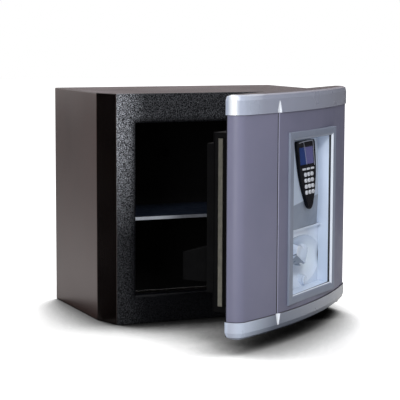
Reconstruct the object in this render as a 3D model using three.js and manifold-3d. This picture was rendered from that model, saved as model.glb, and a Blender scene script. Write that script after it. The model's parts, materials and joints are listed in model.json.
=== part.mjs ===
// Electronic home safe with a bowed door, shown with its door part open.
// Millimetres, +Z up. The origin is the middle of the cabinet's base, and the door side faces -Y.

import * as THREE from 'three';
import { mergeVertices } from 'three/addons/utils/BufferGeometryUtils.js';
import Module from 'manifold-3d';

const wasm = await Module();
wasm.setup();

// Clearances
const fitGap = 0.3;
const overrun = 5;

// Cabinet
const cabinetWidth = 465;
const cabinetDepth = 304;
const cabinetHeight = 420;
const cabinetWall = 4;
const taperLength = 60;
const taperInset = 18;
const stileWidth = 54.5;
const openingBottom = 52;
const openingTop = 367;

// Front frame
const frameSheet = 3;
const frameLipDepth = 20;
const frameBendRadius = 5;
const frameBendSegments = 5;

// Back panel and its two anchor holes
const anchorHoleRadius = 6;
const anchorHeights = [136, 284];
const plugFlangeRadius = 9;
const plugFlangeThickness = 2;
const plugDomeHeight = 2.4;
const plugSegments = 20;

// Shelf and its two brackets
const shelfTop = 181;
const shelfSetback = 113;
const shelfSheet = 2;
const shelfLipHeight = 6.5;
const shelfReturn = 12;
const bracketLeg = 20;
const bracketSheet = 2;
const bracketSetback = 5;
const bracketRearGap = 12;

// Door outline, measured on the closed door
const doorOverlap = 2.5;
const doorShift = -2;
const doorBottom = 24.8;
const doorTop = 430;
const doorGap = 2.5;
const doorEndThickness = 29;
const doorBow = 28.4;
const doorEndRadius = 21.5;
const doorRearChamfer = 2;
const openAngle = 39.7;
const bowSegments = 26;
const cornerSegments = 6;

// Door hinge
const pivotInset = 9.9;
const pivotForward = 12.6;
const pinRadius = 3;
const pinSegments = 16;
const pinLength = 42;
const earRadius = 8.5;
const earThickness = 5;
const earSegments = 12;
const earRootLength = 30;
const earRootOut = 7.5;
const lowerEarGap = 4;
const upperEarBottom = 376;
const earSlotMargin = 3;
const earSlotDepth = 22;
const hingeBlockHeight = 36;
const hingeBlockReach = 26;
const hingeBlockDepth = 19.5;
const hingeBlockChamfer = 5;

// Door plate and the lock box behind it
const plateThickness = 5;
const plateHingeGap = 11.6;
const boxClearance = 8;
const boxBottom = 56;
const boxTop = 363;
const boxDepth = 52;
const boxWall = 2;
const coverFlange = 1.7;
const coverDepth = 15;
const coverBottom = 88;
const coverTop = 344;
const coverInset = 2;
const coverHingeInset = 30;
const coverWall = 1.5;

// Locking bar, its arm and its guides
const barTravel = 20;
const barWidth = 30;
const barThickness = 8;
const barFront = 36;
const barBottom = 66;
const barTop = 353;
const barProud = 1;
const armBottom = 138;
const armTop = 160;
const armThickness = 5;
const guideHeights = [92, 318];
const guideHeight = 16;
const guideSheet = 2;
const guideRunningGap = 0.5;
const guideReach = 24;
const guideWebGap = 5;
const deadBarWidth = 36;
const deadBarProud = 17.5;
const deadBarBottom = 80;
const deadBarTop = 340;

// Skins, seam and caps
const topCapHeight = 33;
const bottomCapHeight = 29;
const capProud = 2;
const capEndWall = 3;
const capTopRound = 9;
const capTopInset = 7;
const capBottomBevel = 11;
const capBottomInset = 7;
const skinThickness = 3;
const seamAcross = -128;
const seamWidth = 3.6;
const seamBevel = 2;
const seamStripWidth = 16;
const seamStripThickness = 2;
const seamRunOut = 21;
const seamRunOutRadius = 8.9;
const seamRunOutProud = 5;
const seamRunOutSegments = 12;

// Window bezel
const windowLeft = -75.3;
const windowRight = 90.2;
const windowBottom = 77.5;
const windowTop = 346.5;
const bezelFace = 58;
const bezelBorder = 15;
const bezelLeftExtra = 4;
const bezelRightExtra = 2;
const bezelLeftDrop = 2.8;
const bezelBevelWidth = 3.5;
const bezelBevelDepth = 3;
const bezelEdge = 1;
const bezelLip = 0.9;
const bezelSkirtIn = 3;
const bezelSkirtOut = 6;
const bezelSkirtBack = 40;
const bezelBack = 44;

// Recess liner
const linerRim = 50.9;
const linerWall = 2.5;
const linerDraft = 2.5;
const linerFloor = 25;
const lowerFloor = 32;
const ribBottom = 182.5;
const ribTop = 186.2;
const ribOut = 37;
const bowlHalfWidth = 101;
const bowlHalfHeight = 50;
const bowlHalfDepth = 22;
const bowlCentreOut = 40;
const bowlDrop = 4;
const bowlSegments = 28;
const bowlRings = 16;
const linerBackMargin = 8;

// Keypad housing
const housingTop = 343.5;
const housingTopOut = 37;
const housingCrease = 232;
const creaseRise = 5.5;
const creaseTurn = 8;
const housingBottom = 186.7;
const housingBottomOut = 38;
const housingSideGap = 3.5;
const housingWall = 2.5;
const housingRoof = 6;
const housingChamferStart = 51.5;
const housingChamferEndOut = 27.5;
const keypadTilt = 5;
const boardPocketInset = 1.8;
const boardPocketBottom = 3;
const boardPocketDepth = 3.3;
const boardThickness = 1.6;
const cableHoleRadius = 6;

// Keypad, whose heights are measured up the tilted face of its housing
const keypadAcross = 1.5;
const keypadThickness = 6;
const keypadTopMargin = 1.9;
const keypadHeight = 122;
const keypadHalfWidth = 39.5;
const keypadOutlineShares = [
  [0, 0.93], [0.01, 0.97], [0.03, 1], [0.12, 1], [0.25, 0.98], [0.38, 0.935], [0.516, 0.86],
  [0.62, 0.755], [0.72, 0.64], [0.8, 0.53], [0.87, 0.41], [0.93, 0.31], [0.97, 0.2], [0.99, 0.1],
];
const keypadEdge = 1.2;
const screenAcross = -3.2;
const screenWidth = 59;
const screenHeight = 30;
const screenDrop = 12;
const screenThickness = 1.6;
const keyWidth = 11;
const keyHeight = 7;
const keyPitchAcross = 14.5;
const keyPitchUp = 10.5;
const keyColumns = 3;
const keyRows = 4;
const firstRowDrop = 60;
const keyProud = 1.3;
const keyTravel = 1;
const keyClearance = 0.35;
const keyCornerShare = 0.3;
const keyCrownInset = 0.6;
const keyCrownHeight = 0.5;
const functionKeyWidth = 14;
const functionKeyHeight = 3.6;
const functionPitchAcross = 18.5;
const functionRowDrop = 50.3;

// Handle, spindle and drive disc
const handleAcross = 2;
const handleHeight = 134;
const hubRadius = 16;
const hubBack = 26;
const hubFront = 36;
const hubEdge = 2;
const hubSegments = 36;
const leverAngle = 160;
const leverReach = 54.5;
const leverTail = 20;
const leverBack = 33;
const leverTailOut = 37;
const leverReachOut = 49;
const leverBaseShares = [
  [-0.524, 0.091], [-0.569, -0.125], [-0.583, -0.294], [-0.565, -0.416], [-0.388, -0.48], [-0.169, -0.475],
  [0.084, -0.41], [0.298, -0.327], [0.55, -0.303], [0.917, -0.239], [1, -0.073], [0.972, 0.22], [0.826, 0.404], [0.367, 0.336], [-0.183, 0.202], [-0.44, 0.147],
];
const leverCrownShares = [
  [-0.376, 0.119], [-0.367, 0.03], [-0.349, -0.037], [-0.3, -0.12], [-0.202, -0.202], [-0.1, -0.235],
  [0, -0.248], [0.25, -0.246], [0.55, -0.239], [0.899, -0.183], [0.972, -0.055], [0.954, 0.092], [0.899, 0.128], [0.367, 0.132], [-0.147, 0.132], [-0.339, 0.136],
];
const spindleRadius = 4;
const spindleFront = 33.7;
const spindleSegments = 12;
const bushRadius = 7;
const bushFlangeRadius = 10;
const bushFlange = 2.5;
const bushRear = 4;
const discRadius = 24;
const discFront = 32;
const discThickness = 4;
const discSegments = 32;
const crankRadius = 16.4;
const crankPinRadius = 3.5;
const crankPinEnd = 45.5;
const crankRestAngle = 52.5;
const slotRunningGap = 0.8;
const slotHeight = 16;

// Solenoid
const solenoidAcross = -60;
const solenoidWidth = 30;
const solenoidBottom = 172;
const solenoidTop = 212;
const solenoidFront = 28;
const solenoidBack = 48;
const solenoidFoot = 3;
const plungerRadius = 4;
const plungerTop = 198;
const plungerDrop = 5;

// Emergency key lock
const lockAcross = 24;
const lockHeight = 88.5;
const lockFlangeRadius = 8.8;
const lockBossRadius = 11;
const lockFlangeFront = 34.8;
const lockFlangeBack = 32.3;
const lockBarrelRadius = 7.5;
const lockBarrelBack = 6;
const lockPlugRadius = 5.3;
const lockSegments = 24;
const keywayWidth = 1.4;
const keywayHeight = 6.5;
const keywayDepth = 9;
const lockCamThickness = 3;
const lockCamReach = 16;
const lockCamWidth = 9;

// Battery box
const batteryInset = 15;
const batteryWidth = 80;
const batteryBottom = 104;
const batteryHeight = 49;
const batteryRise = 13;
const batteryDepth = 50;
const batteryWall = 2;
const batteryCoverSheet = 2;

// Worked-out places
const openingHalf = cabinetWidth / 2 - stileWidth;
const cabinetFront = -cabinetDepth / 2;
const doorBack = cabinetFront - doorGap;
const pivotAcross = cabinetWidth / 2 - pivotInset;
const pivotY = cabinetFront - pivotForward;
const pivotOut = pivotForward - doorGap;
const doorHalf = cabinetWidth / 2 + doorOverlap;
const bowRadius = (doorHalf ** 2 + doorBow ** 2) / (2 * doorBow);
const bowCentreOut = doorEndThickness + doorBow - bowRadius;
const endCentreAcross = doorHalf - doorEndRadius;
const endCentreOut = bowCentreOut + Math.sqrt((bowRadius - doorEndRadius) ** 2 - endCentreAcross ** 2);
const capInnerInset = capProud + capEndWall;
const skinBottom = doorBottom + bottomCapHeight;
const skinTop = doorTop - topCapHeight;
const skinSpan = [skinBottom + fitGap, skinTop - fitGap];
const capCavityBottom = doorBottom + capEndWall;
const capCavityTop = doorTop - capEndWall;
const tilt = THREE.MathUtils.degToRad(keypadTilt);
const creaseOut = housingTopOut + (housingTop - housingCrease) * Math.tan(tilt);
const keypadTop = (housingTop - housingCrease) / Math.cos(tilt) - keypadTopMargin;
const lowerEarTop = doorBottom - lowerEarGap;
const plateHingeEdge = pivotAcross - plateHingeGap;
const boxHalfWidth = openingHalf - boxClearance;
const coverHingeEdge = boxHalfWidth - coverHingeInset;
const batteryLeft = -boxHalfWidth + batteryInset;
const barBack = barFront + barThickness;
const barRestEnd = -boxHalfWidth - barProud;
const armBack = barBack - fitGap;
const linerBack = linerFloor - linerWall;
const coverFaceBack = boxDepth + coverDepth;

// Materials
function paint(color, roughness, metalness) {
  return new THREE.MeshStandardMaterial({ color, roughness, metalness });
}
const satinBlack = paint(0x2b2928, 0.45, 0.1);
const hammeredBlack = paint(0x22242a, 0.5, 0.2);
const innerBlack = paint(0x151516, 0.7, 0.1);
const doorGrey = paint(0x6f6f86, 0.4, 0.2);
const capSilver = paint(0xb2b8c8, 0.3, 0.6);
const bezelGrey = paint(0x7c8498, 0.4, 0.3);
const recessWhite = paint(0xbccbe0, 0.15, 0);
const housingGrey = paint(0x8a93a4, 0.4, 0.2);
const glossBlack = paint(0x0a0b10, 0.1, 0);
const keySilver = paint(0xc8ccd6, 0.3, 0.5);
const screenBlue = paint(0x2a3c80, 0.1, 0);
const zincSteel = paint(0xb9b6ac, 0.4, 0.8);
const shelfPaint = paint(0x9098a8, 0.5, 0.1);
const boardGreen = paint(0x2f6b45, 0.5, 0);
const blackPlastic = paint(0x1a1a1c, 0.5, 0);
const brass = paint(0xb59a5a, 0.35, 0.9);

// A manifold solid from any closed geometry.
function solid(geometry) {
  geometry.deleteAttribute('normal');
  geometry.deleteAttribute('uv');
  const merged = mergeVertices(geometry);
  return new wasm.Manifold(new wasm.Mesh({
    numProp: 3,
    vertProperties: new Float32Array(merged.attributes.position.array),
    triVerts: new Uint32Array(merged.index.array),
  }));
}

// A named mesh of a manifold solid, added to its group.
function addNode(group, name, material, shape) {
  const mesh = shape.getMesh();
  const geometry = new THREE.BufferGeometry();
  geometry.setAttribute('position', new THREE.BufferAttribute(mesh.vertProperties, mesh.numProp));
  geometry.setIndex(new THREE.BufferAttribute(mesh.triVerts, 1));
  geometry.computeVertexNormals();
  const node = new THREE.Mesh(geometry, material);
  node.name = name;
  group.add(node);
}

// A box from its spans along X, Y and Z.
function block([x0, x1], [y0, y1], [z0, z1]) {
  const geometry = new THREE.BoxGeometry(x1 - x0, y1 - y0, z1 - z0);
  geometry.translate((x0 + x1) / 2, (y0 + y1) / 2, (z0 + z1) / 2);
  return solid(geometry);
}

// A box on the door, whose depth span is measured outwards from the door's back plane.
function doorBlock(across, [out0, out1], up) {
  return block(across, [-out1, -out0], up);
}

// An upright prism from an outline of [x, y] points.
function prism(points, [low, high]) {
  const shape = new THREE.Shape(points.map(([x, y]) => new THREE.Vector2(x, y)));
  const geometry = new THREE.ExtrudeGeometry(shape, { depth: high - low, bevelEnabled: false });
  geometry.translate(0, 0, low);
  return solid(geometry);
}

// An upright prism on the door, from an outline of [across, out] points.
function doorPrism(points, up) {
  return prism(points.map(([across, out]) => [across, -out]), up);
}

// A prism along the door's thickness, from an outline of [across, up] points.
function facePrism(points, [out0, out1]) {
  const shape = new THREE.Shape(points.map(([across, up]) => new THREE.Vector2(across, up)));
  const geometry = new THREE.ExtrudeGeometry(shape, { depth: out1 - out0, bevelEnabled: false });
  geometry.rotateX(Math.PI / 2);
  geometry.translate(0, -out0, 0);
  return solid(geometry);
}

// A rod along the door's thickness.
function doorRod(across, up, radius, [out0, out1], segments, frontRadius = radius) {
  const geometry = new THREE.CylinderGeometry(radius, frontRadius, out1 - out0, segments);
  geometry.translate(across, -(out0 + out1) / 2, up);
  return solid(geometry);
}

// An upright rod.
function uprightRod(x, y, radius, [low, high], segments, topRadius = radius) {
  const geometry = new THREE.CylinderGeometry(topRadius, radius, high - low, segments);
  geometry.rotateX(Math.PI / 2);
  geometry.translate(x, y, (low + high) / 2);
  return solid(geometry);
}

// A closed mesh from points and triangles, turned right side out.
function closedMesh(points, triangles) {
  let volume = 0;
  const [a, b, c] = [new THREE.Vector3(), new THREE.Vector3(), new THREE.Vector3()];
  triangles.forEach(([i, j, k]) => {
    a.fromArray(points[i]);
    b.fromArray(points[j]);
    c.fromArray(points[k]);
    volume += a.dot(b.cross(c));
  });
  const order = volume < 0 ? triangles.map(([i, j, k]) => [i, k, j]) : triangles;
  const geometry = new THREE.BufferGeometry();
  geometry.setAttribute('position', new THREE.Float32BufferAttribute(points.flat(), 3));
  geometry.setIndex(order.flat());
  return solid(geometry);
}

// Triangles of the walls between rings that each hold the same number of points.
function ringWalls(ringCount, pointCount, joined) {
  const triangles = [];
  const wallCount = joined ? ringCount : ringCount - 1;
  for (let ring = 0; ring < wallCount; ring += 1) {
    const here = ring * pointCount;
    const there = ((ring + 1) % ringCount) * pointCount;
    for (let point = 0; point < pointCount; point += 1) {
      const next = (point + 1) % pointCount;
      triangles.push([here + point, here + next, there + next]);
      triangles.push([here + point, there + next, there + point]);
    }
  }
  return triangles;
}

// A solid through a stack of outlines, each given as [[x, y], ...] at its height.
function stack(outlines, heights) {
  const pointCount = outlines[0].length;
  const points = outlines.flatMap((outline, ring) => outline.map(([x, y]) => [x, y, heights[ring]]));
  const triangles = ringWalls(outlines.length, pointCount, false);
  const endRing = (outlines.length - 1) * pointCount;
  const contour = outlines[0].map(([x, y]) => new THREE.Vector2(x, y));
  const turned = THREE.ShapeUtils.isClockWise(contour);
  THREE.ShapeUtils.triangulateShape(contour, []).forEach(([i, j, k]) => {
    triangles.push(turned ? [i, j, k] : [k, j, i]);
  });
  const endContour = outlines.at(-1).map(([x, y]) => new THREE.Vector2(x, y));
  THREE.ShapeUtils.triangulateShape(endContour, []).forEach(([i, j, k]) => {
    triangles.push(turned ? [endRing + k, endRing + j, endRing + i] : [endRing + i, endRing + j, endRing + k]);
  });
  return closedMesh(points, triangles);
}

// A solid through a stack of door outlines, given as [across, out] points.
function doorStack(outlines, heights) {
  return stack(outlines.map((outline) => outline.map(([across, out]) => [across, -out])), heights);
}

// The corners of a rectangular opening grown by an offset.
function windowCorners({ left, right, bottom, top }, offset) {
  return [
    [left - offset, bottom - offset],
    [right + offset, bottom - offset],
    [right + offset, top + offset],
    [left - offset, top + offset],
  ];
}

// A frame around an opening, from its section as [offset, y, sides] points. The sides hold what a point
// has more of offset on the left and right, and how far it drops back on the left.
function windowFrame(opening, section) {
  const middle = (opening.left + opening.right) / 2;
  const points = section.flatMap(([offset, y, { left = 0, right = 0, drop = 0 } = {}]) => {
    const widened = { ...opening, left: opening.left - left, right: opening.right + right };
    return windowCorners(widened, offset).map(([x, z]) => [x, x < middle ? y + drop : y, z]);
  });
  return closedMesh(points, ringWalls(section.length, 4, true));
}

// A tapered block that fills an opening between two [offset, y] sections.
function windowBlock(opening, [front, back]) {
  const points = [front, back].flatMap(([offset, y]) => (
    windowCorners(opening, offset).map(([x, z]) => [x, y, z])
  ));
  const ends = [[0, 2, 1], [0, 3, 2], [4, 5, 6], [4, 6, 7]];
  return closedMesh(points, [...ringWalls(2, 4, false), ...ends]);
}

// The cabinet's plan, set in from its outer faces.
function cabinetPlan(inset, front, back) {
  const slope = taperInset / taperLength;
  const slant = Math.hypot(1, slope);
  const side = cabinetWidth / 2 - inset;
  const frontHalf = cabinetWidth / 2 - taperInset - inset * slant + (front - cabinetFront) * slope;
  const shoulder = cabinetFront + (taperInset + inset * slant - inset) / slope;
  return [[-side, back], [-side, shoulder], [-frontHalf, front], [frontHalf, front], [side, shoulder], [side, back]];
}

// The door's plan, set in from its outer faces, as [across, out] points.
function doorPlan(inset, rear = inset) {
  const half = doorHalf - inset;
  const turn = Math.atan2(endCentreOut - bowCentreOut, -endCentreAcross);
  const left = [[-half + doorRearChamfer, rear], [-half, rear + doorRearChamfer]];
  for (let step = 0; step <= cornerSegments; step += 1) {
    const angle = Math.PI + (turn - Math.PI) * (step / cornerSegments);
    left.push([
      -endCentreAcross + (doorEndRadius - inset) * Math.cos(angle),
      endCentreOut + (doorEndRadius - inset) * Math.sin(angle),
    ]);
  }
  for (let step = 1; step < bowSegments / 2; step += 1) {
    const angle = turn + (Math.PI / 2 - turn) * (step / (bowSegments / 2));
    left.push([(bowRadius - inset) * Math.cos(angle), bowCentreOut + (bowRadius - inset) * Math.sin(angle)]);
  }
  const right = left.map(([across, out]) => [-across, out]).reverse();
  const plan = [...left, [0, bowCentreOut + bowRadius - inset], ...right];
  return plan.map(([across, out]) => [across + doorShift, out]);
}

// How far the door's outer face stands out at a place across it.
function bowOut(across) {
  return bowCentreOut + Math.sqrt(bowRadius ** 2 - (across - doorShift) ** 2);
}

function addCabinetShell(group) {
  const frontEdge = cabinetFront + frameSheet + fitGap;
  const outer = prism(cabinetPlan(0, frontEdge, cabinetDepth / 2), [0, cabinetHeight]);
  const inner = prism(
    cabinetPlan(cabinetWall, cabinetFront - overrun, cabinetDepth / 2 + overrun),
    [cabinetWall, cabinetHeight - cabinetWall],
  );
  addNode(group, 'cabinet_shell', satinBlack, outer.subtract(inner));
}

function addBackPanel(group) {
  const half = cabinetWidth / 2 - cabinetWall - fitGap;
  const inside = cabinetDepth / 2 - cabinetWall;
  let panel = block(
    [-half, half],
    [inside, cabinetDepth / 2],
    [cabinetWall + fitGap, cabinetHeight - cabinetWall - fitGap],
  );
  anchorHeights.forEach((height, index) => {
    const through = [-(cabinetDepth / 2 + overrun), -(inside - overrun)];
    panel = panel.subtract(doorRod(0, height, anchorHoleRadius, through, plugSegments));
    const head = [-(inside - fitGap), -(inside - fitGap - plugFlangeThickness)];
    const dome = [head[1], head[1] + plugDomeHeight];
    const stem = [-cabinetDepth / 2, head[0]];
    const plug = doorRod(0, height, plugFlangeRadius, head, plugSegments)
      .add(doorRod(0, height, plugFlangeRadius, dome, plugSegments, anchorHoleRadius))
      .add(doorRod(0, height, anchorHoleRadius - fitGap, stem, plugSegments));
    addNode(group, ['anchor_plug_lower', 'anchor_plug_upper'][index], blackPlastic, plug);
  });
  addNode(group, 'back_panel', innerBlack, panel);
}

function addFrontFrame(group) {
  const plateBack = cabinetFront + frameSheet;
  const opening = { left: -openingHalf, right: openingHalf, bottom: openingBottom, top: openingTop };
  const section = [[frameBendRadius + frameSheet, plateBack], [frameBendRadius + frameSheet, cabinetFront]];
  for (let step = 0; step <= frameBendSegments; step += 1) {
    const angle = (Math.PI / 2) * (step / frameBendSegments);
    section.push([
      frameBendRadius * (1 - Math.sin(angle)),
      cabinetFront + frameBendRadius * (1 - Math.cos(angle)),
    ]);
  }
  section.push([0, cabinetFront + frameLipDepth]);
  section.push([frameSheet, cabinetFront + frameLipDepth]);
  section.push([frameSheet, cabinetFront + frameBendRadius]);
  section.push([frameBendRadius, plateBack]);
  const half = cabinetWidth / 2;
  const plate = prism(cabinetPlan(0, cabinetFront, 0), [0, cabinetHeight])
    .intersect(block([-half, half], [cabinetFront, plateBack], [0, cabinetHeight]));
  const hole = windowBlock(opening, [
    [frameBendRadius + frameSheet, cabinetFront - overrun],
    [frameBendRadius + frameSheet, plateBack + overrun],
  ]);
  addNode(group, 'front_frame', hammeredBlack, plate.subtract(hole).add(windowFrame(opening, section)));
}

function addShelf(group) {
  const half = cabinetWidth / 2 - cabinetWall - 2 * fitGap;
  const front = cabinetFront + shelfSetback;
  const back = cabinetDepth / 2 - cabinetWall - fitGap;
  const bottom = shelfTop - shelfLipHeight;
  const shelf = block([-half, half], [front, back], [shelfTop - shelfSheet, shelfTop])
    .add(block([-half, half], [front, front + shelfSheet], [bottom, shelfTop]))
    .add(block(
      [-half + bracketLeg + bracketSheet, half - bracketLeg - bracketSheet],
      [front, front + shelfReturn],
      [bottom, bottom + shelfSheet],
    ));
  addNode(group, 'shelf', shelfPaint, shelf);
  const wallFace = cabinetWidth / 2 - cabinetWall - fitGap;
  const top = shelfTop - shelfSheet - fitGap;
  const run = [front + shelfSheet + bracketSetback, back - bracketRearGap];
  [['shelf_bracket_left', -1], ['shelf_bracket_right', 1]].forEach(([name, side]) => {
    const reach = [side * wallFace, side * (wallFace - bracketLeg)].sort((a, b) => a - b);
    const web = [side * wallFace, side * (wallFace - bracketSheet)].sort((a, b) => a - b);
    const bracket = block(reach, run, [top - bracketSheet, top]).add(block(web, run, [top - bracketLeg, top]));
    addNode(group, name, innerBlack, bracket);
  });
}

// The plan of a hinge ear, welded to the cabinet's tapered corner and rounded about the pivot.
function earPlan() {
  const slope = taperInset / taperLength;
  const cornerX = cabinetWidth / 2 - taperInset + fitGap;
  const points = [
    [cornerX, cabinetFront - fitGap],
    [cornerX + earRootLength * slope, cabinetFront + earRootLength],
    [cornerX + earRootLength * slope + earRootOut, cabinetFront + earRootLength - earRootOut],
    [pivotAcross + earRadius, cabinetFront],
  ];
  for (let step = 0; step <= earSegments; step += 1) {
    const angle = -Math.PI * (step / earSegments);
    points.push([pivotAcross + earRadius * Math.cos(angle), pivotY + earRadius * Math.sin(angle)]);
  }
  points.push([pivotAcross - earRadius, cabinetFront - fitGap]);
  return points;
}

function addHingeEars(group) {
  const ears = [
    ['lower', lowerEarTop - earThickness, lowerEarTop - earThickness],
    ['upper', upperEarBottom, upperEarBottom],
  ];
  ears.forEach(([name, bottom, pinBottom]) => {
    const hole = uprightRod(
      pivotAcross, pivotY, pinRadius + fitGap, [bottom - overrun, bottom + earThickness + overrun], pinSegments,
    );
    const ear = prism(earPlan(), [bottom, bottom + earThickness]).subtract(hole);
    addNode(group, `hinge_bracket_${name}`, satinBlack, ear);
    const pin = uprightRod(pivotAcross, pivotY, pinRadius, [pinBottom, pinBottom + pinLength], pinSegments);
    addNode(group, `hinge_pin_${name}`, zincSteel, pin);
  });
}

function addHingeBlocks(group) {
  const rightEdge = doorShift + doorHalf - capInnerInset - fitGap;
  const front = plateThickness + fitGap;
  const plan = [
    [plateHingeEdge - hingeBlockReach, front],
    [plateHingeEdge + fitGap, front],
    [plateHingeEdge + fitGap, 2 * fitGap],
    [rightEdge, 2 * fitGap],
    [rightEdge, hingeBlockDepth - hingeBlockChamfer],
    [rightEdge - hingeBlockChamfer, hingeBlockDepth],
    [plateHingeEdge - hingeBlockReach, hingeBlockDepth],
  ];
  const lowerBottom = capCavityBottom + fitGap;
  const upperBottom = upperEarBottom + earThickness + fitGap;
  [['lower', lowerBottom], ['upper', upperBottom]].forEach(([name, bottom]) => {
    const bore = uprightRod(
      pivotAcross, -pivotOut, pinRadius + fitGap / 2, [bottom - overrun, bottom + hingeBlockHeight + overrun], pinSegments,
    );
    const body = doorPrism(plan, [bottom, bottom + hingeBlockHeight]).subtract(bore);
    addNode(group, `hinge_block_${name}`, brass, body);
  });
}

function addDoorPlate(group) {
  const freeEdge = doorShift - (doorHalf - capInnerInset - fitGap);
  const through = [-overrun, plateThickness + overrun];
  const plate = doorBlock(
    [freeEdge, plateHingeEdge],
    [0, plateThickness],
    [capCavityBottom + fitGap, capCavityTop - fitGap],
  )
    .subtract(doorRod(handleAcross, handleHeight, bushRadius + fitGap, through, hubSegments))
    .subtract(doorRod(lockAcross, lockHeight, lockBarrelRadius + fitGap, through, lockSegments))
    .subtract(doorRod(keypadAcross, housingCrease, cableHoleRadius, through, lockSegments));
  addNode(group, 'door_plate', satinBlack, plate);
}

function addLockBox(group) {
  const outer = doorBlock([-boxHalfWidth, boxHalfWidth], [-boxDepth, -fitGap], [boxBottom, boxTop]);
  const inner = doorBlock(
    [-boxHalfWidth + boxWall, boxHalfWidth - boxWall],
    [-boxDepth - overrun, overrun],
    [boxBottom + boxWall, boxTop - boxWall],
  );
  const barDepths = [-barBack - fitGap, -barFront + fitGap];
  const barSlot = doorBlock(
    [-boxHalfWidth - overrun, -boxHalfWidth + overrun],
    barDepths,
    [barBottom - fitGap, barTop + fitGap],
  );
  const deadSlot = doorBlock(
    [boxHalfWidth - overrun, boxHalfWidth + overrun],
    barDepths,
    [deadBarBottom - fitGap, deadBarTop + fitGap],
  );
  addNode(group, 'lock_box', satinBlack, outer.subtract(inner).subtract(barSlot).subtract(deadSlot));
  const deadBar = doorBlock(
    [boxHalfWidth + deadBarProud - deadBarWidth, boxHalfWidth + deadBarProud],
    [-barBack, -barFront],
    [deadBarBottom, deadBarTop],
  );
  addNode(group, 'dead_bar', zincSteel, deadBar);
}

function addMechanismCover(group) {
  const flange = doorBlock(
    [-boxHalfWidth, boxHalfWidth],
    [-boxDepth - fitGap - coverFlange, -boxDepth - fitGap],
    [boxBottom, boxTop],
  );
  const sides = [-boxHalfWidth + coverInset, coverHingeEdge];
  const raised = doorBlock(sides, [-coverFaceBack, -boxDepth - fitGap], [coverBottom, coverTop]);
  const hollow = doorBlock(
    [sides[0] + coverWall, sides[1] - coverWall],
    [-coverFaceBack + coverWall, overrun - boxDepth],
    [coverBottom + coverWall, coverTop - coverWall],
  );
  addNode(group, 'mechanism_cover', satinBlack, flange.add(raised).subtract(hollow));
}

function addLockingBar(group) {
  const strip = doorBlock([barRestEnd, barRestEnd + barWidth], [-barBack, -barFront], [barBottom, barTop]);
  const rampStart = solenoidAcross - plungerRadius;
  const rampEnd = rampStart + barTravel + 2 * plungerRadius;
  const rampFall = plungerDrop * ((rampEnd - rampStart) / barTravel);
  const crankAcross = handleAcross + crankRadius * Math.cos(THREE.MathUtils.degToRad(crankRestAngle));
  const armEnd = crankAcross + crankPinRadius * 2 + slotRunningGap;
  const armOutline = [
    [barRestEnd + barWidth - fitGap, armBottom],
    [armEnd, armBottom],
    [armEnd, armTop - rampFall],
    [rampEnd, armTop - rampFall],
    [rampStart, armTop],
    [barRestEnd + barWidth - fitGap, armTop],
  ];
  const arm = facePrism(armOutline, [-armBack, -armBack + armThickness]);
  const slotHalf = crankPinRadius + slotRunningGap;
  const slotCentre = handleHeight + crankRadius * (1 + Math.sin(THREE.MathUtils.degToRad(crankRestAngle))) / 2;
  const slotCut = doorBlock(
    [crankAcross - slotHalf, crankAcross + slotHalf],
    [-armBack - overrun, -armBack + armThickness + overrun],
    [slotCentre - slotHeight / 2, slotCentre + slotHeight / 2],
  );
  addNode(group, 'locking_bar', zincSteel, strip.add(arm).subtract(slotCut));
}

function addBarGuides(group) {
  const jawLeft = barRestEnd + barWidth - guideReach;
  const webLeft = barRestEnd + barWidth + guideWebGap;
  const plan = [
    [webLeft, -fitGap],
    [webLeft, -barFront + guideRunningGap + guideSheet],
    [jawLeft, -barFront + guideRunningGap + guideSheet],
    [jawLeft, -barFront + guideRunningGap],
    [webLeft, -barFront + guideRunningGap],
    [webLeft, -barBack - guideRunningGap],
    [jawLeft, -barBack - guideRunningGap],
    [jawLeft, -barBack - guideRunningGap - guideSheet],
    [webLeft + guideSheet, -barBack - guideRunningGap - guideSheet],
    [webLeft + guideSheet, -fitGap],
  ];
  guideHeights.forEach((bottom, index) => {
    addNode(group, ['bar_guide_lower', 'bar_guide_upper'][index], zincSteel, doorPrism(plan, [bottom, bottom + guideHeight]));
  });
}

// A tapered run-out of the seam, cut into a cap.
function seamNotch(edge, tip) {
  const out = bowOut(seamAcross) + seamRunOutProud;
  const [low, high] = [Math.min(edge, tip), Math.max(edge, tip)];
  const radii = edge < tip ? [seamRunOutRadius, seamRunOutProud] : [seamRunOutProud, seamRunOutRadius];
  return uprightRod(seamAcross, -out, radii[0], [low, high], seamRunOutSegments, radii[1]);
}

function addCaps(group) {
  const cavityPlan = doorPlan(capInnerInset, -overrun);
  const topPlans = [doorPlan(0), doorPlan(0), doorPlan(capTopInset / 4), doorPlan(capTopInset)];
  const topHeights = [skinTop, doorTop - capTopRound, doorTop - capTopRound / 4, doorTop];
  const topCap = doorStack(topPlans, topHeights)
    .subtract(doorPrism(cavityPlan, [skinTop - overrun, capCavityTop]))
    .subtract(seamNotch(skinTop - fitGap, skinTop + seamRunOut));
  addNode(group, 'door_cap_top', capSilver, topCap);
  const bottomPlans = [doorPlan(capBottomInset), doorPlan(capBottomInset / 3), doorPlan(0), doorPlan(0)];
  const bottomHeights = [
    doorBottom, doorBottom + capBottomBevel / 3, doorBottom + capBottomBevel, skinBottom,
  ];
  const bottomCap = doorStack(bottomPlans, bottomHeights)
    .subtract(doorPrism(cavityPlan, [capCavityBottom, skinBottom + overrun]))
    .subtract(seamNotch(skinBottom + fitGap, skinBottom - seamRunOut))
    .subtract(uprightRod(
      pivotAcross, -pivotOut, pinRadius + 2 * fitGap, [doorBottom - overrun, capCavityBottom + overrun], pinSegments,
    ));
  addNode(group, 'door_cap_bottom', capSilver, bottomCap);
}

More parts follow.
